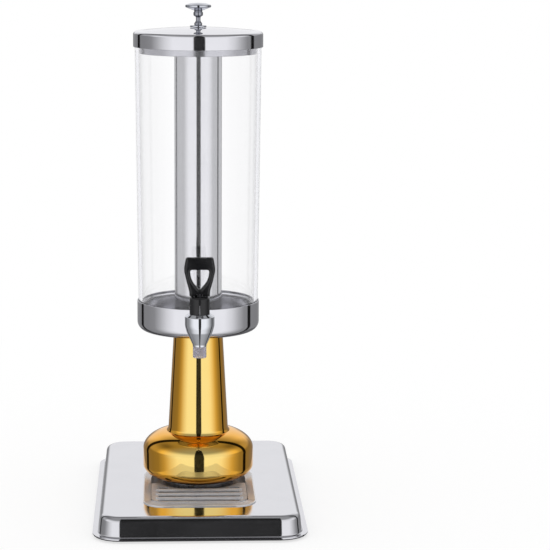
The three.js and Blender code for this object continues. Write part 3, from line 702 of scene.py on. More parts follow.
class CopiesTree(FormTree):
    """Sets copies of an object in rows about a centre."""

    name = "copies in rows"
    sockets = {
        "Copy": "NodeSocketObject",
        "Count X": "NodeSocketInt",
        "Count Y": "NodeSocketInt",
        "Spread X": "NodeSocketFloat",
        "Spread Y": "NodeSocketFloat",
        "Centre": "NodeSocketVector",
        "Finish": "NodeSocketMaterial",
    }

    def grow(self, sheet: NodeSheet, given: Sockets) -> Socket:
        """Puts a copy on each corner of a grid.

        Args:
            sheet: the tree's nodes.
            given: the tree's inputs.

        Returns:
            The copies.
        """
        grid = {f"Size {axis}": given[f"Spread {axis}"] for axis in "XY"}
        grid |= {f"Vertices {axis}": given[f"Count {axis}"] for axis in "XY"}
        rows = {"Geometry": sheet.add("GeometryNodeMeshGrid", grid).outputs[0], "Offset": given["Centre"]}
        placed = sheet.add("GeometryNodeSetPosition", rows).outputs[0]
        copy = sheet.add("GeometryNodeObjectInfo", {"Object": given["Copy"], "As Instance": True})
        points = {"Points": placed, "Instance": copy.outputs["Geometry"]}
        return sheet.add("GeometryNodeInstanceOnPoints", points).outputs[0]


def turned(
    name: str,
    outline: Points,
    finish: Finish,
    closed: bool = True,
    segments: int = TURN_SEGMENTS,
) -> Piece:
    """Turns an outline about the Z axis.

    Args:
        name: name of the piece.
        outline: radius and height points, anticlockwise.
        finish: finish of the piece.
        closed: whether the outline closes on itself, as a ring's does; otherwise it runs from axis to axis.
        segments: flats round the axis.

    Returns:
        The turned piece, as a plain mesh.
    """
    points = [(radius, 0.0, height) for radius, height in outline]
    if closed:
        points.append(points[0])
    edges = [(index, index + 1) for index in range(len(points) - 1)]
    form = mesh_object(name, points, edges, [])
    return TurningTree().run(form, {"Segments": segments, "Finish": finish.material()})


def copies(
    original: Piece,
    name: str,
    counts: tuple[int, int],
    spread: Pair,
    centre: Sequence[float],
    finish: Finish,
) -> Piece:
    """Sets copies of an object in rows and removes the original.

    Args:
        original: what is copied.
        name: name of the piece.
        counts: copies along X and Y.
        spread: distance from the first copy to the last along X and Y.
        centre: middle of the rows.
        finish: finish of the piece.

    Returns:
        All the copies as one plain mesh.
    """
    values = {"Copy": original, "Centre": centre, "Finish": finish.material()}
    values |= {"Count X": counts[0], "Count Y": counts[1], "Spread X": spread[0], "Spread Y": spread[1]}
    made = CopiesTree().run(mesh_object(name, [], [], []), values)
    bpy.data.objects.remove(original, do_unlink=True)
    return made


def moved(piece: Piece, *steps: Matrix) -> Piece:
    """Moves or turns a piece's mesh and leaves its object at the origin.

    Args:
        piece: mesh object to move.
        *steps: matrices, the first one applied first.

    Returns:
        The same piece.
    """
    for step in steps:
        piece.data.transform(step)
    piece.data.update()
    return piece


def combined(piece: Piece, tool: Piece, joining: Joining) -> Piece:
    """Cuts a piece with a tool body, or adds the tool to it, and removes the tool.

    Args:
        piece: mesh object that is kept.
        tool: closed mesh object.
        joining: what the tool does.

    Returns:
        The plain result under the piece's name.
    """
    modifier = piece.modifiers.new("combine", "BOOLEAN")
    modifier.operation = joining.value
    modifier.solver = "EXACT"
    modifier.object = tool
    result = baked(piece)
    bpy.data.objects.remove(tool, do_unlink=True)
    return smoothed(result)


def welded(piece: Piece) -> Piece:
    """Merges a mesh's doubled corners and turns its faces outwards.

    Args:
        piece: closed mesh object.

    Returns:
        The same piece.
    """
    form = bmesh.new()
    form.from_mesh(piece.data)
    bmesh.ops.remove_doubles(form, verts=form.verts, dist=WELD_DISTANCE)
    bmesh.ops.recalc_face_normals(form, faces=form.faces)
    form.to_mesh(piece.data)
    form.free()
    return piece


def bar(name: str, radius: float, low: float, high: float, finish: Finish, fillet: float = 0.0) -> Piece:
    """Makes a round bar on the Z axis, between two heights and with rounded rims."""
    corners = [(0.0, low, 0.0), (radius, low, fillet), (radius, high, fillet), (0.0, high, 0.0)]
    return turned(name, softened(corners), finish, closed=False, segments=SMALL_SEGMENTS)


def ring_outline(inner: float, outer: float, low: float, high: float, fillet: float) -> Outline:
    """Gives the outline of a plain ring with rounded rims, between two radii and two heights."""
    corners = [(inner, low, fillet), (outer, low, fillet), (outer, high, fillet), (inner, high, fillet)]
    return softened(corners, closed=True, steps=SMALL_FILLET_STEPS)


def wedge(name: str, run: Span, heights: Span, half_widths: Pair, finish: Finish) -> Piece:
    """Makes a block whose left and right sides lean evenly from its foot to its top.

    Args:
        name: name of the form.
        run: front and rear ends along Y.
        heights: foot and top.
        half_widths: half the width at the foot and at the top.
        finish: its finish.

    Returns:
        The closed form.
    """
    corners = []
    for y in run:
        foot, top = ((half, y, height) for half, height in zip(half_widths, heights))
        corners += [(-foot[0], *foot[1:]), foot, top, (-top[0], *top[1:])]
    faces = [(0, 1, 2, 3), (7, 6, 5, 4), (0, 4, 5, 1), (1, 5, 6, 2), (2, 6, 7, 3), (3, 7, 4, 0)]
    piece = mesh_object(name, corners, [], faces)
    piece.data.materials.append(finish.material())
    return piece


def traced(name: str, paths: Sequence[Points], closed: bool, finish: Finish, **settings: object) -> Piece:
    """Makes a bevelled curve along paths.

    Args:
        name: name of the piece.
        paths: the points of each path.
        closed: whether each path leads back to its start.
        finish: finish of the piece.
        **settings: settings of the curve, such as its bevel.

    Returns:
        The curve's surface, as a plain mesh.
    """
    curve = bpy.data.curves.new(name, "CURVE")
    for setting, value in settings.items():
        setattr(curve, setting, value)
    for path in paths:
        spline = curve.splines.new("POLY")
        spline.points.add(len(path) - 1)
        spline.use_cyclic_u = closed
        for control, point in zip(spline.points, path):
            control.co = (*point, 1.0)
    piece = baked(shown(name, curve))
    piece.data.materials.clear()
    piece.data.materials.append(finish.material())
    return piece


def lofted(name: str, rings: Sequence[Points], finish: Finish) -> Piece:
    """Makes a skin through closed rings with as many points each.

    Args:
        name: name of the piece.
        rings: the rings in order, each anticlockwise seen from above.
        finish: finish of the piece.

    Returns:
        The skin, open at its first and last rings.
    """
    count = len(rings[0])
    points = [tuple(point) for ring in rings for point in ring]
    faces = []
    for low in range(0, count * (len(rings) - 1), count):
        for index in range(count):
            ahead = (index + 1) % count
            faces.append((low + index, low + ahead, low + count + ahead, low + count + index))
    piece = mesh_object(name, points, [], faces)
    piece.data.materials.append(finish.material())
    return piece


def filled(piece: Piece, count: int, hole: Points = ()) -> Piece:
    """Fills the level area inside a skin's last ring, up to a hole where one is given.

    Args:
        piece: skin to fill.
        count: points of its last ring.
        hole: points round the hole.

    Returns:
        The same piece.
    """
    form = bmesh.new()
    form.from_mesh(piece.data)
    form.verts.ensure_lookup_table()
    edges = []
    for loop in (form.verts[-count:], [form.verts.new(point) for point in hole]):
        for index, corner in enumerate(loop):
            pair = (loop[index - 1], corner)
            edges.append(form.edges.get(pair) or form.edges.new(pair))
    made = bmesh.ops.triangle_fill(form, use_beauty=True, use_dissolve=False, edges=edges)
    for face in (item for item in made["geom"] if isinstance(item, bmesh.types.BMFace)):
        face.normal_update()
        if face.normal.z < 0:
            face.normal_flip()
    form.to_mesh(piece.data)
    form.free()
    return piece


def thickened(piece: Piece, sheet: float) -> Piece:
    """Gives a skin its sheet thickness on the side away from its normals.

    Args:
        piece: open skin.
        sheet: thickness of the sheet.

    Returns:
        The plain closed shell.
    """
    modifier = piece.modifiers.new("sheet", "SOLIDIFY")
    modifier.thickness = sheet
    modifier.offset = -1
    modifier.use_even_offset = True
    return smoothed(baked(piece))


def settle(piece: Piece, body: Body, finish: Finish, *nodes: str) -> Piece:
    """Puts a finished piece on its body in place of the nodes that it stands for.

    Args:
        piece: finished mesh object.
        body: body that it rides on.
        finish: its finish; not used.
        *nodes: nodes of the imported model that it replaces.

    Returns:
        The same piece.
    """
    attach(piece, body.value)
    if nodes:
        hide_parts(*nodes)
    LOG.info("%s: %d faces on %s", piece.name, len(piece.data.polygons), body.value)
    return piece


def dress(finish: Finish, *nodes: str) -> None:
    """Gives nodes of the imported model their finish.

    Args:
        finish: the finish.
        *nodes: names of the nodes.
    """
    for node in nodes:
        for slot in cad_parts[node].material_slots:
            slot.material = finish.material()
        LOG.info("%s: %s", node, finish.name)


@dataclass(frozen=True)
class Drum:
    """Room that a round node takes: radius, lower end, upper end and place of its axis."""

    radius: float
    low: float
    high: float
    axis: Vector


def drum(node: str) -> Drum:
    """Reads the room of a round node from the frame.

    Args:
        node: name of the node.

    Returns:
        Its radius, ends and axis.
    """
    low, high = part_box(node)
    middle = (low + high) / 2
    return Drum((high.x - low.x) / 2, low.z, high.z, Vector((middle.x, middle.y, 0.0)))


def level(node: str) -> float:
    """Gives the height of a node's middle."""
    low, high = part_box(node)
    return (low.z + high.z) / 2


def radius_at(node: str, height: float) -> float:
    """Gives the widest radius of a node about the tower's axis at one height."""
    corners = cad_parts[node].data.vertices
    return max(corner.co.xy.length for corner in corners if abs(corner.co.z - height) < FIT_GAP)


def bore_of(node: str) -> float:
    """Gives the narrowest radius of a node about the tower's axis."""
    return min(corner.co.xy.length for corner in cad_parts[node].data.vertices)


def corner_ring(half: Vector, radius: float, height: float, steps: int) -> list[Vector]:
    """Gives a rounded rectangle about the origin, anticlockwise.

    Args:
        half: half width and half depth.
        radius: radius of its corners.
        height: its height.
        steps: flats on each corner.

    Returns:
        The ring's points.
    """
    points = []
    for quarter, (side_x, side_y) in enumerate(((1, 1), (-1, 1), (-1, -1), (1, -1))):
        centre = Vector((side_x * (half.x - radius), side_y * (half.y - radius), height))
        arc = []
        for step in range(steps + 1):
            angle = QUARTER_TURN * (quarter + step / steps)
            arc.append(centre + Vector((math.cos(angle), math.sin(angle), 0)) * radius)
        start = QUARTER_TURN * quarter
        lead_in = Vector((math.sin(start), -math.cos(start), 0)) * HOLD_RUN
        lead_out = Vector((lead_in.y, -lead_in.x, 0))
        points += [arc[0] + lead_in, *arc, arc[-1] + lead_out]
    return points


@dataclass
class Well:
    """Drip well: pressed basin with a rim, round behind and square in front."""

    half_width: float = 0.061
    corner_radius: float = 0.018
    knee_front: float = 0.12
    shelf_run: float = 0.0274
    side_run: float = 0.008
    shelf_drop: float = 0.0036
    rim_width: float = 0.0016
    rim_fillet: float = 0.0008
    knee_fillet: float = 0.0016
    floor_fillet: float = 0.004
    floor_inset: float = 0.008
    sheet: float = 0.0008
    ramp_angle: float = math.radians(24)
    corner_steps: int = 14
    rear_steps: int = 42

    def ring(self, half_width: float, front: float, height: float) -> Outline:
        """Gives a tongue-shaped ring of the basin.

        Args:
            half_width: half its width, also the radius behind.
            front: distance of its front from the axis.
            height: its height.

        Returns:
            The ring's points, anticlockwise.
        """
        radius = max(self.corner_radius + half_width - self.half_width, self.rim_width)
        points: Outline = []
        for step in range(self.rear_steps + 1):
            angle = math.pi * step / self.rear_steps
            points.append((half_width * math.cos(angle), half_width * math.sin(angle), height))
        for side, quarter in ((-1, 2), (1, 3)):
            for step in range(self.corner_steps + 1):
                angle = QUARTER_TURN * (quarter + step / self.corner_steps)
                x = side * (half_width - radius) + radius * math.cos(angle)
                y = radius - front + radius * math.sin(angle)
                points.append((x, y, height))
        return points

    def rim(self) -> Pair:
        """Gives the half width and the front of the basin's outer rim."""
        half = self.half_width + self.side_run + self.rim_width
        return half, self.knee_front + self.shelf_run + self.rim_width

    def build(self) -> Piece:
        """Makes the pressed basin from its rim to its floor.

        Returns:
            The basin as a closed shell.
        """
        low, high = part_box("drip_well")
        floor = low.z + self.sheet
        knee = high.z - self.shelf_drop
        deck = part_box("base_cover")[1].z
        half, front = self.rim()
        floor_front = self.knee_front - (knee - floor) / math.tan(self.ramp_angle)
        path = softened([
            (half, front, deck, 0.0),
            (half, front, high.z, self.rim_fillet),
            (half - self.rim_width, front - self.rim_width, high.z, self.knee_fillet),
            (self.half_width, self.knee_front, knee, self.knee_fillet),
            (self.half_width, floor_front, floor, self.floor_fillet),
            (self.half_width - self.floor_inset, floor_front - self.floor_inset, floor, 0.0),
        ])
        rings = [self.ring(*point) for point in path]
        basin = lofted("drip_well_basin", rings, WELL_POLISH)
        return thickened(filled(basin, len(rings[0])), self.sheet)


@dataclass
class Base:
    """Pressed base cover with its flange, the drip well in its deck, and the four feet."""

    flange: float = 0.0073
    flange_fillet: float = 0.0018
    corner_radius: float = 0.028
    corner_steps: int = 18
    wall_lean: float = 0.0027
    roll_radius: float = 0.008
    roll_steps: int = 10
    sheet: float = 0.0012
    hole_inset: float = 0.0032
    foot_groove: float = 0.0006
    foot_groove_share: float = 0.6
    foot_names: tuple[str, ...] = (
        "foot_front_left", "foot_front_right", "foot_rear_left", "foot_rear_right",
    )
    well: Well = field(default_factory=Well)

    def cover(self) -> Piece:
        """Makes the cover: flange, leaning wall, rolled edge and deck with its opening.

        Returns:
            The cover as a closed shell.
        """
        low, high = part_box("base_cover")
        wall = Vector((high.x - self.flange, high.y - self.flange, 0.0))
        flange_top = low.z + self.sheet
        path = softened([
            (self.flange, flange_top, 0.0),
            (0.0, flange_top, self.flange_fillet),
            (-self.wall_lean, high.z, self.roll_radius),
            (-self.wall_lean - self.roll_radius * 2, high.z, 0.0),
        ], steps=self.roll_steps)
        rings = []
        for offset, height in path:
            half = wall + Vector((offset, offset, 0.0))
            rings.append(corner_ring(half, self.corner_radius + offset, height, self.corner_steps))
        skin = lofted("base_cover_shell", rings, DECK_POLISH)
        rim_half, rim_front = self.well.rim()
        hole = self.well.ring(rim_half - self.hole_inset, rim_front - self.hole_inset, high.z)
        return thickened(filled(skin, len(rings[0]), hole), self.sheet)

    def feet(self) -> Piece:
        """Makes the four rubber feet, each with a groove round its sole.

        Returns:
            The four feet as one piece.
        """
        near = drum(self.foot_names[0])
        far = drum(self.foot_names[-1])
        inner = near.radius * self.foot_groove_share
        sole = near.low + self.foot_groove
        outline = softened([
            (0.0, sole, 0.0),
            (inner, sole, self.foot_groove),
            (inner + self.foot_groove, near.low, self.foot_groove / 2),
            (near.radius, near.low, self.foot_groove),
            (near.radius, near.high, 0.0),
            (0.0, near.high, 0.0),
        ], steps=SMALL_FILLET_STEPS)
        foot = turned("foot_form", outline, RUBBER, closed=False, segments=SMALL_SEGMENTS)
        spread = (far.axis.x - near.axis.x, far.axis.y - near.axis.y)
        return copies(foot, "base_feet", (2, 2), spread, (0.0, 0.0, 0.0), RUBBER)

    def build(self) -> None:
        """Makes and places every piece of the base."""
        settle(self.cover(), Body.BASE, DECK_POLISH, "base_cover")
        settle(self.well.build(), Body.BASE, WELL_POLISH, "drip_well")
        settle(self.feet(), Body.BASE, RUBBER, *self.foot_names)
        # The base plate's dark finish is painted shade for the dark line under the flange.
        dress(DARK_PLATE_SHADE, "base_plate")
        dress(PLATED, "base_spacer")


@dataclass
class DripParts:
    """Lift-out tray and its grid, with rounded ribs between the grid's slots."""

    rib_width: float = 0.006
    rib_height: float = 0.0016
    rib_half_length: float = 0.055
    rib_end_share: float = 0.9
    rib_segments: int = 16
    rib_steps: int = 4
    pitch: float = 0.02
    rear: float = 0.058
    count: int = 3

    def rib(self) -> Piece:
        """Makes one rib along X with rounded ends.

        Returns:
            The rib, centred on the origin.
        """
        half = self.rib_width / 2
        fillet = half * self.rib_end_share
        outline = softened([
            (0.0, -self.rib_half_length, 0.0),
            (half, -self.rib_half_length, fillet),
            (half, self.rib_half_length, fillet),
            (0.0, self.rib_half_length, 0.0),
        ], steps=self.rib_steps)
        form = turned("rib_form", outline, GRID_STEEL, closed=False, segments=self.rib_segments)
        flat = Matrix.Diagonal((1.0, 1.0, self.rib_height / half, 1.0))
        return moved(form, Matrix.Rotation(QUARTER_TURN, 4, "Y"), flat)

    def build(self) -> None:
        """Makes and places the ribs and dresses the tray and the grid."""
        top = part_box("drip_grid")[1].z
        length = self.pitch * (self.count - 1)
        centre = (0.0, -self.rear - length / 2, top)
        ribs = copies(self.rib(), "drip_grid_ribs", (1, self.count), (0.0, length), centre, GRID_STEEL)
        settle(ribs, Body.GRID, GRID_STEEL)
        dress(GRID_STEEL, "drip_grid")
        dress(BRUSHED, "drip_tray")


@dataclass
class Pedestal:
    """Gold bulb and column, with the boss and rod that hold them."""

    foot_radius: float = 0.04
    foot_bore: float = 0.03
    lower_rise: float = 0.017
    waist_rise: float = 0.021
    shoulder_power: float = 1.2
    arc_steps: int = 28
    sheet: float = 0.0015
    column_base: float = 0.0385
    column_lip_bore: float = 0.02
    lip_fillet: float = 0.00075
    flare: float = 0.0022
    flare_rise: float = 0.0034
    flare_fillet: float = 0.0068

    def wall(self, room: Drum, inset: float) -> Outline:
        """Gives one wall of the bulb from its foot to its collar.

        Args:
            room: room of the bulb.
            inset: how far inside the outer wall it lies.

        Returns:
            Radius and height points, upwards.
        """
        widest = room.radius - inset
        collar = self.column_base - inset
        waist_low = room.low + self.lower_rise
        waist_high = waist_low + self.waist_rise
        upper_rise = room.high - waist_high - inset
        lower: Outline = []
        upper: Outline = []
        for step in range(self.arc_steps + 1):
            angle = QUARTER_TURN * step / self.arc_steps
            radius = self.foot_radius + (widest - self.foot_radius) * math.sin(angle)
            lower.append((radius, waist_low - (self.lower_rise - inset) * math.cos(angle)))
            spread = max(math.cos(angle), 0.0) ** self.shoulder_power
            upper.append((collar + (widest - collar) * spread, waist_high + upper_rise * math.sin(angle)))
        return lower + upper

    def bulb(self) -> Piece:
        """Makes the spun bulb.

        Returns:
            The bulb with its inner wall.
        """
        room = drum("pedestal_bulb")
        outer = self.wall(room, 0.0)
        inner = self.wall(room, self.sheet)
        foot = [(self.foot_bore, room.low + self.sheet), (self.foot_bore, room.low)]
        return turned("pedestal_bulb_shell", foot[1:] + outer + inner[::-1] + foot[:1], GOLD)

    def column(self) -> Piece:
        """Makes the tapered column.

        Returns:
            The column with its flared foot and its inward lip on top.
        """
        room = drum("pedestal_column")
        top_radius = radius_at("pedestal_column", room.high)
        outline = softened([
            (self.column_base - self.sheet, room.low, 0.0),
            (self.column_base + self.flare, room.low, 0.0),
            (self.column_base, room.low + self.flare_rise, self.flare_fillet),
            (top_radius, room.high, self.lip_fillet),
            (self.column_lip_bore, room.high, 0.0),
            (self.column_lip_bore, room.high - self.sheet, 0.0),
            (top_radius - self.sheet, room.high - self.sheet, 0.0),
        ], closed=True)
        return turned("pedestal_column_shell", outline, GOLD)

    def build(self) -> None:
        """Makes and places the pedestal's pieces."""
        settle(self.bulb(), Body.BASE, GOLD, "pedestal_bulb")
        settle(self.column(), Body.BASE, GOLD, "pedestal_column")
        dress(BRUSHED, "pedestal_boss")
        dress(RUBBER, "pedestal_gasket")
        dress(PLATED, "pedestal_top_plate", "tie_rod", "tie_rod_weld_nut", "tie_rod_jam_nut")


@dataclass
class Tank:
    """Bowl, glass and ice tube."""

    sheet: float = 0.0012
    bowl_fillet: float = 0.0112
    bowl_steps: int = 14
    bowl_rim_fillet: float = 0.00054
    rod_bore: float = 0.0045
    glass_wall: float = 0.0045
    glass_rim: float = 0.0014
    tube_wall: float = 0.001
    tube_bead: float = 0.001
    tube_foot_fillet: float = 0.002
    foot_fillet: float = 0.0006
    shank_hole: float = 0.008
    gasket_fillet: float = 0.0003

    def bowl_finish(self) -> MetalFinish:
        """Gives the finish of the bowl: mirror outside, satin inside with painted shade where the inside
        turns away from the viewer.
        """
        inner = drum("tank_bowl").radius - self.sheet
        return replace(POLISHED, name="bowl steel", satin=SatinShadeZone(within=inner + FIT_GAP))

    def bowl(self) -> Piece:
        """Makes the bowl.

        Returns:
            The bowl with its rounded foot, its rim and the hole for the tap's shank.
        """
        room = drum("tank_bowl")
        inner = room.radius - self.sheet
        floor = room.low + self.sheet
        outline = softened([
            (self.rod_bore, room.low, 0.0),
            (room.radius, room.low, self.bowl_fillet),
            (room.radius, room.high, self.bowl_rim_fillet),
            (inner, room.high, self.bowl_rim_fillet),
            (inner, floor, self.bowl_fillet - self.sheet),
            (self.rod_bore, floor, 0.0),
        ], closed=True, steps=self.bowl_steps)
        shell = turned("tank_bowl_shell", outline, self.bowl_finish())
        hole = bar("shank_hole", self.shank_hole, 0.0, self.bowl_fillet * 2, POLISHED)
        front = Vector((0.0, -room.radius + self.bowl_fillet, level("tap_shank")))
        moved(hole, Matrix.Rotation(QUARTER_TURN, 4, "X"), Matrix.Translation(front))
        return combined(shell, hole, Joining.CUT)

    def glass(self) -> Piece:
        """Makes the glass tube.

        Returns:
            The tube, a little wider at its top, with fire-polished rims.
        """
        low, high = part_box("tank_cylinder")
        foot = radius_at("tank_cylinder", low.z)
        outline = softened([
            (foot - self.glass_wall, low.z, self.glass_rim),
            (foot, low.z, self.glass_rim),
            (high.x, high.z, self.glass_rim),
            (high.x - self.glass_wall, high.z, self.glass_rim),
        ], closed=True)
        return turned("tank_glass", outline, GLASS)

    def tube(self) -> Piece:
        """Makes the closed ice tube.

        Returns:
            The tube with a bead round its mouth.
        """
        low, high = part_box("ice_tube")
        outer = high.x - self.tube_bead
        inner = outer - self.tube_wall
        outline = softened([
            (0.0, low.z, 0.0),
            (outer, low.z, self.tube_foot_fillet),
            (outer, high.z - self.tube_bead * 2, self.tube_bead),
            (outer + self.tube_bead, high.z - self.tube_bead, self.tube_bead),
            (outer, high.z, self.tube_bead / 2),
            (inner, high.z, self.tube_bead / 3),
            (inner, low.z + self.tube_wall, self.tube_foot_fillet - self.tube_wall),
            (0.0, low.z + self.tube_wall, 0.0),
        ])
        return turned("ice_tube_shell", outline, TUBE_POLISH, closed=False)

    def tube_foot(self) -> Piece:
        """Makes the foot that closes the ice tube.

        Returns:
            The foot with its blind bore.
        """
        room = drum("ice_tube_foot")
        rod = drum("tie_rod")
        bore = rod.radius + FIT_GAP
        bore_top = rod.high + FIT_GAP
        outline = softened([
            (0.0, bore_top, 0.0),
            (bore, bore_top, 0.0),
            (bore, room.low, 0.0),
            (room.radius, room.low, self.foot_fillet),
            (room.radius, room.high, self.foot_fillet),
            (0.0, room.high, 0.0),
        ])
        return turned("ice_tube_foot_block", outline, BRUSHED_ROUND, closed=False)

    def ring(self, name: str, node: str, finish: Finish) -> None:
        """Replaces a flat ring node by a smooth one.

        Args:
            name: name of the piece.
            node: node that it stands for.
            finish: its finish.
        """
        room = drum(node)
        outline = ring_outline(bore_of(node), room.radius, room.low, room.high, self.gasket_fillet)
        settle(turned(name, outline, finish), Body.BASE, finish, node)

    def build(self) -> None:
        """Makes and places the tank's pieces."""
        settle(self.bowl(), Body.BASE, self.bowl_finish(), "tank_bowl")
        settle(self.glass(), Body.BASE, GLASS, "tank_cylinder")
        settle(self.tube(), Body.BASE, TUBE_POLISH, "ice_tube")
        settle(self.tube_foot(), Body.BASE, BRUSHED_ROUND, "ice_tube_foot")
        self.ring("bowl_lower_seal", "bowl_lower_gasket", RUBBER)
        self.ring("bowl_upper_seal", "bowl_upper_gasket", SILICONE)
        self.ring("bowl_seat_ledge", "bowl_seat_ring", BRUSHED_ROUND)
        self.ring("tank_seal", "tank_gasket", SILICONE)


@dataclass
class Lid:
    """Lid with skirt and low dome, its inner collar and its turned knob.

    A pair of the knob's sizes is a radius and a rise, and a pair of its shares is a part of such sizes.
    """

    sheet: float = 0.0012
    roll_radius: float = 0.0056
    roll_steps: int = 9
    seal_inset: float = 0.0008
    hem: float = 0.0005
    skirt_height: float = 0.0191
    collar_flange: float = 0.011
    screw_hole: float = 0.0026
    dome_steps: int = 24
    knob_flange: Pair = (0.0104, 0.0022)
    knob_ring: Pair = (0.0052, 0.0055)
    knob_ring_shares: Pair = (0.9, 0.4)
    knob_waist: Pair = (0.0029, 0.0048)
    knob_bead: Pair = (0.006, 0.0078)
    knob_bead_shares: Pair = (0.25, 0.75)
    knob_neck_share: float = 0.75
    knob_under_rise: float = 0.0046
    knob_under_shares: Pair = (0.7, 0.6)
    knob_edge: float = 0.003
    knob_crown_shares: Pair = (0.6, 0.7)
    knob_bore: Pair = (0.0024, 0.009)
    knob_fillets: tuple[float, ...] = (0.0005, 0.001, 0.0014, 0.002, 0.003, 0.006)
    knob_steps: int = 8

    def dome(self, room: Drum, drop: float) -> Outline:
        """Gives points over the dome of the lid.

        Args:
            room: room of the lid.
            drop: how far below the outer surface they lie.

        Returns:
            Radius and height points, towards the axis.
        """
        edge = room.radius - self.roll_radius
        shoulder = room.low + self.skirt_height
        rise = room.high - shoulder
        points: Outline = []
        for step in range(self.dome_steps + 1):
            radius = edge + (self.screw_hole - edge) * step / self.dome_steps
            points.append((radius, shoulder - drop + rise * (1 - (radius / edge) ** 2)))
        return points

    def cover(self) -> Piece:
        """Makes the lid's skirt, rolled edge and dome.

        Returns:
            The lid's cover.
        """
        room = drum("lid_cover")
        inner = room.radius - self.sheet
        shoulder = room.low + self.skirt_height
        dome = self.dome(room, 0.0)
        under = self.dome(room, self.sheet)
        skirt = softened([
            (*under[1], 0.0),
            (inner, shoulder - self.sheet, self.roll_radius - self.sheet),
            (inner, room.low, self.hem),
            (room.radius, room.low, self.hem),
            (room.radius, shoulder + self.hem, self.roll_radius),
            (*dome[1], 0.0),
        ], steps=self.roll_steps)
        return turned("lid_cover_shell", skirt[1:-1] + dome[1:] + under[:0:-1], POLISHED)

    def collar(self) -> Piece:
        """Makes the collar that hangs inside the glass.

        Returns:
            The collar with its flange.
        """
        room = drum("lid_collar")
        flange = room.radius - self.collar_flange
        inner = room.radius - self.sheet
        outline = softened([
            (inner, room.low, self.hem),
            (room.radius, room.low, self.hem),
            (room.radius, room.high, self.sheet),
            (flange, room.high, 0.0),
            (flange, room.high - self.sheet, 0.0),
            (inner, room.high - self.sheet, 0.0),
        ], closed=True)
        return turned("lid_collar_ring", outline, SATIN)

    def knob(self) -> Piece:
        """Makes the turned knob.

        Returns:
            The knob with its flange, waist, bead and domed cap.
        """
        room = drum("lid_knob")
        bore, bore_rise = self.knob_bore
        flange, flange_rise = self.knob_flange
        ring, ring_rise = self.knob_ring
        waist, waist_rise = self.knob_waist
        bead, bead_rise = self.knob_bead
        flange_top = room.low + flange_rise
        ring_top = flange_top + ring_rise
        waist_top = ring_top + waist_rise
        bead_top = waist_top + bead_rise
        cap_edge = bead_top + self.knob_under_rise
        cap_top = cap_edge + self.knob_edge
        ring_foot, ring_middle = self.knob_ring_shares
        bead_low, bead_high = self.knob_bead_shares
        under, under_rise = self.knob_under_shares
        crown, crown_rise = self.knob_crown_shares
        crisp, soft, rim, curve, swell, dome = self.knob_fillets
        outline = softened([
            (0.0, room.low + bore_rise, 0.0),
            (bore, room.low + bore_rise, 0.0),
            (bore, room.low, 0.0),
            (flange, room.low, crisp),
            (flange, flange_top, soft),
            (ring * ring_foot, flange_top, crisp),
            (ring, flange_top + ring_rise * ring_middle, swell),
            (waist, ring_top, curve),
            (waist, waist_top, curve),
            (bead, waist_top + bead_rise * bead_low, curve),
            (bead, waist_top + bead_rise * bead_high, curve),
            (bead * self.knob_neck_share, bead_top, soft),
            (room.radius * under, bead_top + self.knob_under_rise * under_rise, swell),
            (room.radius, cap_edge, rim),
            (room.radius, cap_top, rim),
            (room.radius * crown, cap_top + (room.high - cap_top) * crown_rise, dome),
            (0.0, room.high, 0.0),
        ], steps=self.knob_steps)
        finish = self.knob_finish(cap_edge)
        return turned("lid_knob_turned", outline, finish, closed=False, segments=SMALL_SEGMENTS)

    def knob_finish(self, cap_edge: float) -> MetalFinish:
        """Gives the finish of the knob: bright on its cap, and under the cap's edge duller and darker with
        painted shade.
        """
        satin = replace(KNOB_SATIN_SHADE, within=self.knob_bead[0] + FIT_GAP, under=cap_edge)
        return replace(KNOB_CHROME, satin=satin)

    def seal(self) -> Piece:
        """Makes the silicone ring between lid and glass.

        Returns:
            The ring.
        """
        room = drum("lid_seal")
        bore = drum("lid_collar").radius + FIT_GAP
        outline = ring_outline(bore, room.radius - self.seal_inset, room.low, room.high, FIT_GAP)
        return turned("lid_seal_ring", outline, SILICONE)

    def build(self) -> None:
        """Makes and places the lid's pieces."""
        settle(self.cover(), Body.LID, POLISHED, "lid_cover")
        settle(self.collar(), Body.LID, SATIN, "lid_collar")
        settle(self.knob(), Body.LID, CHROME, "lid_knob")
        settle(self.seal(), Body.LID, SILICONE, "lid_seal")
        dress(PLATED, "lid_knob_screw")


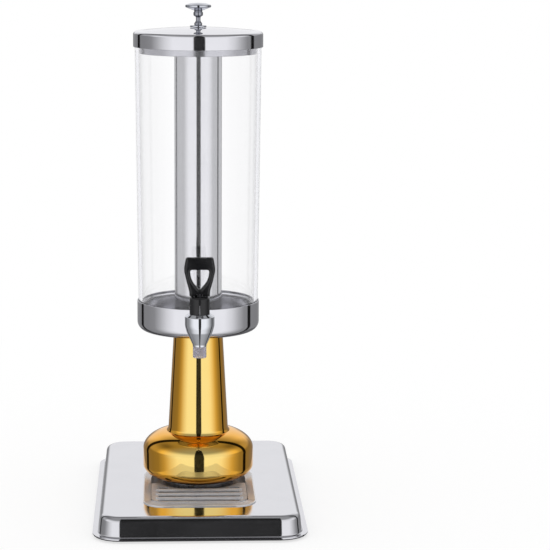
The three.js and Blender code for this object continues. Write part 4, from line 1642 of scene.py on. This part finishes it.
@dataclass
class Tap:
    """Tap: chrome body, clear spout, black bonnet and loop handle, valve and wall fixing."""

    cone_height: float = 0.026
    cone_bend_share: float = 0.3
    cone_bend_height: float = 0.0182
    cone_bend_fillet: float = 0.01376
    cone_top_fillet: float = 0.0172
    outlet_radius: float = 0.0086
    outlet_bore: float = 0.0055
    outlet_lip: float = 0.00208
    outlet_lip_fillet: float = 0.0043
    barrel_inset: float = 0.0008
    shoulder_radius: float = 0.0136
    shoulder_drop: float = 0.0034
    shoulder_fillet: float = 0.0012
    rim_fillet: float = 0.00035
    chamber_radius: float = 0.009
    chamber_floor: float = 0.012
    boss_radius: float = 0.0105
    boss_start: float = 0.01005
    socket_radius: float = 0.0078
    socket_depth: float = 0.02
    inlet_bore: float = 0.0048
    nozzle_bore: float = 0.0062
    nozzle_fillet: float = 0.0008
    bonnet_bore: float = 0.0093
    bonnet_roof: float = 0.0046
    bonnet_chamfer: float = 0.0024
    stem_bore: float = 0.0041
    key_half_widths: Pair = (0.00105, 0.00035)
    key_height: float = 0.0125
    key_depth: float = 0.0008
    key_gap: float = 0.0001
    thread_pitch: float = 0.001
    thread_depth: float = 0.00035
    thread_length: float = 0.0165
    handle_bevel: float = 0.0032
    handle_bevel_steps: int = 6
    handle_steps: int = 10
    handle_top_width: float = 0.0335
    handle_foot_width: float = 0.0254
    handle_foot_height: float = 0.006
    handle_foot_fillet: float = 0.0015
    handle_widest_height: float = 0.033
    handle_shoulder_share: float = 0.86
    handle_shoulder_fillet: float = 0.015
    handle_top_fillet: float = 0.003
    hole_width: float = 0.024
    hole_bottom: float = 0.009
    hole_top: float = 0.0331
    hole_point: float = 0.0024
    hole_corner: float = 0.0025
    hole_bend_share: float = 0.86
    bend_share: float = 0.45
    pocket_height: float = 0.0068
    slot_height: float = 0.0037
    pin_gap: float = 0.0003
    spring_wire: float = 0.0008
    spring_wire_steps: int = 2
    spring_turns: int = 6
    spring_steps: int = 26
    stem_lift: float = 0.004
    body_room: Drum = field(init=False)
    axis: Matrix = field(init=False)

    def __post_init__(self) -> None:
        """Reads the tap's axis from its bonnet, which is round about it."""
        bonnet = drum("tap_bonnet")
        low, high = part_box("tap_body")
        self.body_room = Drum((high.x - low.x) / 2, low.z, high.z, bonnet.axis)
        self.axis = Matrix.Translation(bonnet.axis)

    def body(self) -> Piece:
        """Makes the chrome body.

        Returns:
            The body with its cone, barrel, shoulder, chamber and rear boss.
        """
        room = self.body_room
        bend = room.radius - (room.radius - self.outlet_radius) * self.cone_bend_share
        barrel = room.radius - self.barrel_inset
        floor = room.low + self.chamber_floor
        outline = softened([
            (self.outlet_bore, room.low, 0.0),
            (self.outlet_radius, room.low, self.rim_fillet),
            (self.outlet_radius, room.low + self.outlet_lip, self.outlet_lip_fillet),
            (bend, room.low + self.cone_bend_height, self.cone_bend_fillet),
            (barrel, room.low + self.cone_height, self.cone_top_fillet),
            (barrel, room.high - self.shoulder_drop, self.shoulder_fillet),
            (self.shoulder_radius, room.high, self.rim_fillet),
            (self.chamber_radius, room.high, 0.0),
            (self.chamber_radius, floor, 0.0),
            (self.outlet_bore, floor, 0.0),
        ], closed=True)
        shell = moved(turned("tap_body_shell", outline, CHROME, segments=TAP_SEGMENTS), self.axis)
        middle, rear = room.axis.y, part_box("tap_body")[1].y
        boss = bar("boss_form", self.boss_radius, middle + self.boss_start, rear, CHROME, self.rim_fillet)
        socket = bar("socket_form", self.socket_radius, rear - self.socket_depth, rear + CUT_OVERRUN, CHROME)
        inlet = bar("inlet_form", self.inlet_bore, middle, rear, CHROME)
        lay = Matrix.Rotation(-QUARTER_TURN, 4, "X")
        place = Matrix.Translation((0.0, 0.0, level("tap_shank")))
        for tool, joining in ((boss, Joining.ADD), (socket, Joining.CUT), (inlet, Joining.CUT)):
            shell = combined(shell, moved(tool, lay, place), joining)
        return shell

    def nozzle(self) -> Piece:
        """Makes the clear spout.

        Returns:
            The spout.
        """
        room = drum("tap_nozzle")
        outline = ring_outline(self.nozzle_bore, room.radius, room.low, room.high, self.nozzle_fillet)
        return moved(turned("tap_spout", outline, CLEAR, segments=SMALL_SEGMENTS), self.axis)

    def bonnet(self) -> Piece:
        """Makes the black bonnet.

        Returns:
            The bonnet with the slot for its key.
        """
        room = drum("tap_bonnet")
        ceiling = room.high - self.bonnet_roof
        chamfer = self.bonnet_chamfer
        outline = softened([
            (self.bonnet_bore, room.low, 0.0),
            (room.radius, room.low, self.rim_fillet),
            (room.radius, room.high - chamfer, chamfer),
            (room.radius - chamfer, room.high, chamfer / 2),
            (self.stem_bore, room.high, 0.0),
            (self.stem_bore, ceiling, 0.0),
            (self.bonnet_bore, ceiling, 0.0),
        ], closed=True)
        cap = moved(turned("tap_bonnet_cap", outline, BLACK, segments=TAP_SEGMENTS), self.axis)
        return combined(cap, self.key("key_slot", self.key_gap, CUT_OVERRUN), Joining.CUT)

    def key(self, name: str, gap: float, proud: float) -> Piece:
        """Makes the bonnet's key, or the room for it, as a wedge at the front.

        Args:
            name: name of the form.
            gap: how much larger it is all round.
            proud: how far it stands out of the bonnet.

        Returns:
            The wedge.
        """
        room = drum("tap_bonnet")
        front = room.axis.y - room.radius
        run = (front - proud, front + self.key_depth + gap)
        heights = (room.low + FIT_GAP - gap, room.low + self.key_height + gap)
        lower, upper = self.key_half_widths
        return wedge(name, run, heights, (lower + gap, upper + gap), BRUSHED)

    def handle_outline(self, room: Drum) -> Outline:
        """Gives the outer outline of the handle, from its right foot anticlockwise.

        Args:
            room: room of the handle.

        Returns:
            Corners in the XZ plane with their roundings, heights from the handle's foot.
        """
        height = room.high - room.low
        foot = self.handle_foot_width / 2
        top = self.handle_top_width / 2
        widest = room.radius
        sweep = self.handle_widest_height
        bend = self.handle_foot_height + (sweep - self.handle_foot_height) * self.bend_share
        return both_sides([
            (foot, 0.0, self.handle_foot_fillet),
            (foot, self.handle_foot_height, sweep),
            ((foot + widest) / 2, bend, sweep),
            (widest, self.handle_widest_height, sweep),
            ((top + widest) / 2, height * self.handle_shoulder_share, self.handle_shoulder_fillet),
            (top, height, self.handle_top_fillet),
        ])

    def handle_opening(self) -> Outline:
        """Gives the finger opening of the handle: flat on top, drawn in to a narrow bottom.

        Returns:
            Corners in the XZ plane with their roundings, heights from the handle's foot.
        """
        side = self.hole_width / 2
        point = self.hole_point / 2
        bend = self.hole_bottom + (self.hole_top - self.hole_bottom) * self.bend_share
        return both_sides([
            (point, self.hole_bottom, point),
            (side * self.hole_bend_share, bend, self.hole_top),
            (side, self.hole_top, self.hole_corner),
        ])

    def handle(self) -> Piece:
        """Makes the loop handle.

        Returns:
            The handle with rounded edges, the pocket and slot for the stem, and the hole for its pin.
        """
        low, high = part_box("tap_handle")
        room = Drum((high.x - low.x) / 2, low.z, high.z, self.body_room.axis)
        paths = []
        for corners in (self.handle_outline(room), self.handle_opening()):
            points = softened(corners, closed=True, steps=self.handle_steps)
            paths.append([(x, z, 0.0) for x, z in points])
        loop = traced(
            "tap_handle_loop", paths, True, BLACK, dimensions="2D", fill_mode="BOTH",
            bevel_depth=self.handle_bevel, bevel_resolution=self.handle_bevel_steps,
            offset=-self.handle_bevel, extrude=(high.y - low.y) / 2 - self.handle_bevel,
        )
        upright = Matrix.Rotation(QUARTER_TURN, 4, "X")
        piece = welded(moved(loop, upright, Matrix.Translation((0.0, room.axis.y, room.low))))
        for tool in self.handle_cuts(room):
            piece = combined(piece, tool, Joining.CUT)
        return piece

    def handle_cuts(self, room: Drum) -> list[Piece]:
        """Makes what is cut from the handle: pocket and slot for the stem, and the pin's hole.

        Args:
            room: room of the handle.

        Returns:
            The three tool bodies.
        """
        pocket = bar("pocket_form", self.stem_bore, -CUT_OVERRUN, self.pocket_height, BLACK)
        moved(pocket, self.axis, Matrix.Translation((0.0, 0.0, room.low)))
        run = (room.axis.y - room.radius, room.axis.y)
        heights = (room.low - CUT_OVERRUN, room.low + self.slot_height)
        slot = wedge("stem_slot", run, heights, (self.stem_bore, self.stem_bore), BLACK)
        pin_low, pin_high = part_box("tap_handle_pin")
        reach = CUT_OVERRUN * 2
        radius = (pin_high.z - pin_low.z) / 2 + self.pin_gap
        hole = bar("pin_hole", radius, pin_low.x - reach, pin_high.x + reach, BLACK)
        centre = Vector((0.0, room.axis.y, level("tap_handle_pin")))
        moved(hole, Matrix.Rotation(QUARTER_TURN, 4, "Y"), Matrix.Translation(centre))
        return [pocket, slot, hole]

    def spring(self) -> Piece:
        """Makes the coil spring that presses the stem down.

        Returns:
            The spring.
        """
        room = drum("tap_spring")
        wire = self.spring_wire
        reach = room.radius - wire
        count = self.spring_turns * self.spring_steps
        path = []
        for index in range(count + 1):
            turn = FULL_TURN * index / self.spring_steps
            height = room.low + wire + (room.high - room.low - 2 * wire) * index / count
            path.append((reach * math.cos(turn), reach * math.sin(turn), height))
        coil = traced(
            "tap_spring_coil", [path], False, PLATED, dimensions="3D",
            bevel_depth=wire, bevel_resolution=self.spring_wire_steps, use_fill_caps=True,
        )
        return smoothed(welded(moved(coil, self.axis)))

    def thread(self) -> Piece:
        """Makes the fine thread on the inner end of the shank.

        Returns:
            The thread, ring by ring.
        """
        low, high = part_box("tap_shank")
        radius = (high.x - low.x) / 2
        ridge = self.thread_depth
        crest = [(radius - ridge, -ridge), (radius, 0.0), (radius - ridge, ridge)]
        ring = turned("thread_form", crest, PLATED, segments=SMALL_SEGMENTS)
        moved(ring, Matrix.Rotation(QUARTER_TURN, 4, "X"))
        count = int(self.thread_length / self.thread_pitch)
        length = self.thread_pitch * (count - 1)
        centre = (0.0, high.y - self.thread_pitch - length / 2, level("tap_shank"))
        return copies(ring, "tap_shank_thread", (1, count), (0.0, length), centre, PLATED)

    def build(self) -> None:
        """Makes and places the tap's pieces."""
        settle(self.body(), Body.BASE, CHROME, "tap_body")
        settle(self.nozzle(), Body.BASE, CLEAR, "tap_nozzle")
        settle(self.bonnet(), Body.BASE, BLACK, "tap_bonnet")
        settle(self.key("tap_bonnet_key", 0.0, 0.0), Body.BASE, BRUSHED)
        settle(self.handle(), Body.HANDLE, BLACK, "tap_handle")
        settle(self.thread(), Body.BASE, PLATED)
        spring = settle(self.spring(), Body.BASE, PLATED, "tap_spring")
        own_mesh(spring)
        dress(PLATED, "tap_shank", "tap_lock_nut", "tap_handle_pin")
        dress(DARK_PLATE_SHADE, "tap_stem")
        dress(RUBBER, "tap_outer_washer", "tap_seat_cup")
        dress(SILICONE, "tap_inner_washer")


@dataclass
class LightTent:
    """Light tent that polished metal mirrors: its brightness depends on direction alone."""

    front_bearing: float = math.radians(2)
    front_tones: tuple[Pair, ...] = (
        (0, 1.0), (48, 1.0), (64, 0.8), (80, 0.5), (94, 0.3), (112, 0.26), (150, 0.24), (158, 0.9),
        (180, 0.95),
    )
    band_bearing: float = math.radians(-10)
    band_tones: tuple[Pair, ...] = ((0, 1.0), (115, 1.0), (117.5, 0.03), (125, 0.03), (127, 1.0))
    slit_bearing: float = math.radians(1.2)
    slit_half_width: float = math.radians(9.2)
    slit_edge: float = math.radians(2)
    slit_low: float = -0.85
    slit_high: float = 0.92
    slit_fade: float = 0.12
    slit_tones: Span = (0.003, 0.075)
    mark_scale: float = 90.0
    mark_span: Span = (0.4, 0.65)
    below_span: Span = (-0.95, -0.62)
    below_tone: float = 0.42
    sky_span: Span = (0.1, 0.3)
    sky_tone: float = 0.92
    ceiling_span: Span = (0.42, 0.8)
    ceiling_tone: float = 0.34
    flank_span: Span = (0.35, 0.62)
    flank_rear_span: Span = (-0.1, 0.25)
    flank_tone: float = 0.5
    veil_tone: float = 0.6
    rear_span: Span = (0.82, 0.88)
    rear_level: float = 0.03
    rear_tone: float = 0.3
    aside_span: Span = (0.08, 0.18)
    aside_level_span: Span = (0.0, 0.2)

    def brightness(self, sheet: NodeSheet, behind_glass: Socket) -> Socket:
        """Adds the tent's brightness in the direction of a mirrored ray.

        Args:
            sheet: the world's nodes.
            behind_glass: 1 for a ray that was mirrored behind the glass.

        Returns:
            A brightness where 1 is white.
        """
        direction = sheet.add("ShaderNodeTexCoord").outputs["Generated"]
        x, y, z = sheet.parts(direction)
        share, front = self.panel(sheet, direction, self.front_bearing, self.front_tones)
        front = sheet.maths("MAXIMUM", front, sheet.product(behind_glass, self.veil_tone))
        front = sheet.blend(sheet.scaled(z, self.sky_span), front, self.sky(sheet, x, y, z))
        _, band = self.panel(sheet, direction, self.band_bearing, self.band_tones)
        slit = self.slit(sheet, direction, x, y, z)
        below = sheet.scaled(z, self.below_span, self.below_tone)
        return sheet.product(front, band, slit, below, self.rear(sheet, share, x, z))

    def slit(self, sheet: NodeSheet, direction: Socket, x: Socket, y: Socket, z: Socket) -> Socket:
        """Adds the narrow upright gap in front, with faint marks in its dark.

        Args:
            sheet: the world's nodes.
            direction: direction of the ray.
            x: its part to the right.
            y: its part to the rear.
            z: its part upwards.

        Returns:
            1 beside the gap and nearly 0 in it.
        """
        bearing = sheet.maths("ARCTAN2", x, sheet.product(y, -1.0))
        off = sheet.maths("ABSOLUTE", sheet.maths("SUBTRACT", bearing, self.slit_bearing))
        beside = sheet.scaled(off, (self.slit_half_width, self.slit_half_width + self.slit_edge))
        over = sheet.scaled(z, (self.slit_high, self.slit_high + self.slit_fade))
        under = sheet.scaled(z, (self.slit_low - self.slit_fade, self.slit_low), 1.0, 0.0)
        around = sheet.maths("MAXIMUM", sheet.maths("MAXIMUM", beside, over), under)
        marks = sheet.noise(direction, self.mark_scale, CLOUD_DETAIL)
        return sheet.maths("MAXIMUM", around, sheet.scaled(marks, self.mark_span, *self.slit_tones))

    def sky(self, sheet: NodeSheet, x: Socket, y: Socket, z: Socket) -> Socket:
        """Adds the upper part of the tent, dimmer overhead and on its rear flanks.

        Args:
            sheet: the world's nodes.
            x: the ray's part to the right.
            y: its part to the rear.
            z: its part upwards.

        Returns:
            The brightness of the upper part.
        """
        sky = sheet.scaled(z, self.ceiling_span, self.sky_tone, self.ceiling_tone)
        flank = sheet.scaled(sheet.maths("ABSOLUTE", x), self.flank_span, 0.0, 1.0 - self.flank_tone)
        return sheet.product(sky, sheet.rest(sheet.product(flank, sheet.scaled(y, self.flank_rear_span))))

    def rear(self, sheet: NodeSheet, share: Socket, x: Socket, z: Socket) -> Socket:
        """Adds the dimmer part behind the object, low down and to both sides.

        Args:
            sheet: the world's nodes.
            share: angle from the front as a share of a half turn.
            x: the ray's part to the right.
            z: its part upwards.

        Returns:
            The brightness that the part leaves.
        """
        low = sheet.scaled(z, (-self.rear_level, self.rear_level), 1.0, 0.0)
        aside = sheet.scaled(sheet.maths("ABSOLUTE", x), self.aside_span)
        aside = sheet.product(aside, sheet.scaled(z, self.aside_level_span, 1.0, 0.0))
        behind = sheet.scaled(share, self.rear_span)
        dimmed = sheet.product(behind, sheet.maths("MAXIMUM", low, aside))
        return sheet.rest(sheet.product(dimmed, 1.0 - self.rear_tone))

    @staticmethod
    def panel(
        sheet: NodeSheet, direction: Socket, bearing: float, tones: Sequence[Pair]
    ) -> tuple[Socket, Socket]:
        """Adds a brightness that depends on the angle from one level direction.

        Args:
            sheet: the world's nodes.
            direction: direction of the ray.
            bearing: bearing of the level direction, from -Y towards +X.
            tones: angle in degrees and brightness, in rising order.

        Returns:
            The angle as a share of a half turn, and the brightness.
        """
        inputs = {0: direction, 1: (math.sin(bearing), -math.cos(bearing), 0.0)}
        facing = sheet.add("ShaderNodeVectorMath", inputs, operation="DOT_PRODUCT").outputs["Value"]
        share = sheet.maths("DIVIDE", sheet.maths("ARCCOSINE", facing), math.pi)
        ramp = sheet.add("ShaderNodeValToRGB", {0: share})
        stops = ramp.color_ramp.elements
        while len(stops) < len(tones):
            stops.new(1.0)
        for stop, (degrees, tone) in zip(stops, tones):
            stop.position = math.radians(degrees) / math.pi
            stop.color = (*grey(tone), 1.0)
        return share, ramp.outputs[0]


@dataclass
class Studio:
    """White studio: a pale floor, even light for plain surfaces, and a light tent for mirrors."""

    fill: float = 0.85
    floor_size: float = 6.0
    floor_tone: float = 0.38
    fade_span: Span = (0.35, 1.1)
    tint: Colour = (0.985, 0.985, 1.0)
    first_wall: float = 0.5
    near_walls: float = 3.5
    wall_tone: Colour = (0.95, 0.95, 0.99)
    glass_veil: float = 0.72
    tent: LightTent = field(default_factory=LightTent)

    @staticmethod
    def seen(sheet: NodeSheet, path: bpy.types.Node) -> Socket:
        """Adds 1 for what the camera sees directly or through the glass."""
        return sheet.maths("MAXIMUM", path.outputs["Is Camera Ray"], path.outputs["Is Transmission Ray"])

    def world(self) -> None:
        """Makes the world: white to the camera, even for plain surfaces, a light tent in mirrors."""
        world = bpy.data.worlds.new("studio")
        bpy.context.scene.world = world
        world.use_nodes = True
        sheet = NodeSheet(world.node_tree)
        path = sheet.add("ShaderNodeLightPath")
        rays = path.outputs
        # A ray that a mirror inside the tank sends back has passed four surfaces of the glass on its way,
        # and a ray that the glass itself reflects inwards has passed one to three.
        walls_passed = rays["Transmission Depth"]
        once = sheet.maths("MINIMUM", rays["Glossy Depth"], 1.0)
        mirrored = sheet.product(once, sheet.rest(rays["Is Diffuse Ray"]))
        entered = sheet.maths("GREATER_THAN", walls_passed, self.first_wall)
        inside_wall = sheet.product(entered, sheet.maths("LESS_THAN", walls_passed, self.near_walls))
        tone = self.tent.brightness(sheet, sheet.maths("GREATER_THAN", walls_passed, self.near_walls))
        off_glass = sheet.product(sheet.rest(rays["Is Transmission Ray"]), rays["Is Singular Ray"])
        mirror = sheet.blend(tone, grey(0.0), self.tint)
        mirror = sheet.blend(sheet.product(off_glass, self.glass_veil), mirror, grey(1.0))
        mirror = sheet.blend(inside_wall, mirror, self.wall_tone)
        even = sheet.blend(self.seen(sheet, path), grey(self.fill), grey(1.0))
        background = world.node_tree.nodes["Background"]
        sheet.feed(background.inputs["Color"], sheet.blend(mirrored, even, mirror))

    def floor(self) -> None:
        """Makes the pale floor, which fades into the white beyond it and keeps the object's shadow."""
        half = self.floor_size / 2
        points = [(-half, -half, 0.0), (half, -half, 0.0), (half, half, 0.0), (-half, half, 0.0)]
        floor = mesh_object("floor", points, [], [(0, 1, 2, 3)])
        material = bpy.data.materials.new("floor")
        material.use_nodes = True
        nodes = material.node_tree.nodes
        nodes.remove(nodes["Principled BSDF"])
        sheet = NodeSheet(material.node_tree)
        base = sheet.add("ShaderNodeBsdfDiffuse", {"Color": grey(self.floor_tone)}).outputs[0]
        lift = 1.0 - self.floor_tone * self.fill
        glow = sheet.add("ShaderNodeEmission", {"Color": grey(lift)}).outputs[0]
        near = sheet.add("ShaderNodeAddShader", {0: base, 1: glow}).outputs[0]
        white = sheet.add("ShaderNodeEmission", {"Color": grey(1.0)}).outputs[0]
        fade = sheet.scaled(sheet.length(sheet.place()), self.fade_span)
        view = sheet.add("ShaderNodeMixShader", {0: fade, 1: near, 2: white}).outputs[0]
        seen = self.seen(sheet, sheet.add("ShaderNodeLightPath"))
        surface = sheet.add("ShaderNodeMixShader", {0: seen, 1: base, 2: view}).outputs[0]
        sheet.feed(nodes["Material Output"].inputs["Surface"], surface)
        floor.data.materials.append(material)
        floor.visible_glossy = False
        floor.visible_transmission = False

    def build(self) -> None:
        """Makes the studio."""
        self.world()
        self.floor()
        bpy.context.scene.view_settings.view_transform = "Standard"
        LOG.info("studio ready")


@dataclass
class Photographer:
    """Camera at the photograph's viewing angle, for a square picture."""

    picture_pixels: float = 550.0
    focal_pixels: float = 2210.0
    tower_pixel: float = 197.1
    sensor: float = 36.0
    far_clip: float = 50.0
    distance: float = 2.7985
    height: float = 0.7684
    bearing: float = math.radians(-0.9)
    pitch: float = math.radians(9.58)
    roll: float = math.radians(0.34)

    def build(self) -> None:
        """Makes the camera and gives it to the scene."""
        camera = bpy.data.cameras.new("camera")
        camera.sensor_width = self.sensor
        camera.lens = self.focal_pixels * self.sensor / self.picture_pixels
        camera.clip_end = self.far_clip
        holder = shown("camera", camera)
        side = self.distance * math.sin(self.bearing)
        depth = self.distance * math.cos(self.bearing)
        turn = math.atan((self.picture_pixels / 2 - self.tower_pixel) / self.focal_pixels)
        holder.location = (side, -depth, self.height)
        aim = Euler((QUARTER_TURN - self.pitch, 0.0, self.bearing - turn)).to_matrix()
        holder.rotation_euler = (aim @ Matrix.Rotation(self.roll, 3, "Z")).to_euler()
        bpy.context.scene.camera = holder
        LOG.info("camera ready")


def main() -> None:
    """Builds every sub-assembly in order."""
    logging.basicConfig(level=logging.INFO, format="%(message)s")
    for assembly in (Photographer(), Base(), DripParts(), Pedestal(), Tank(), Lid(), Tap(), Studio()):
        assembly.build()


if __name__ == "__main__":
    main()
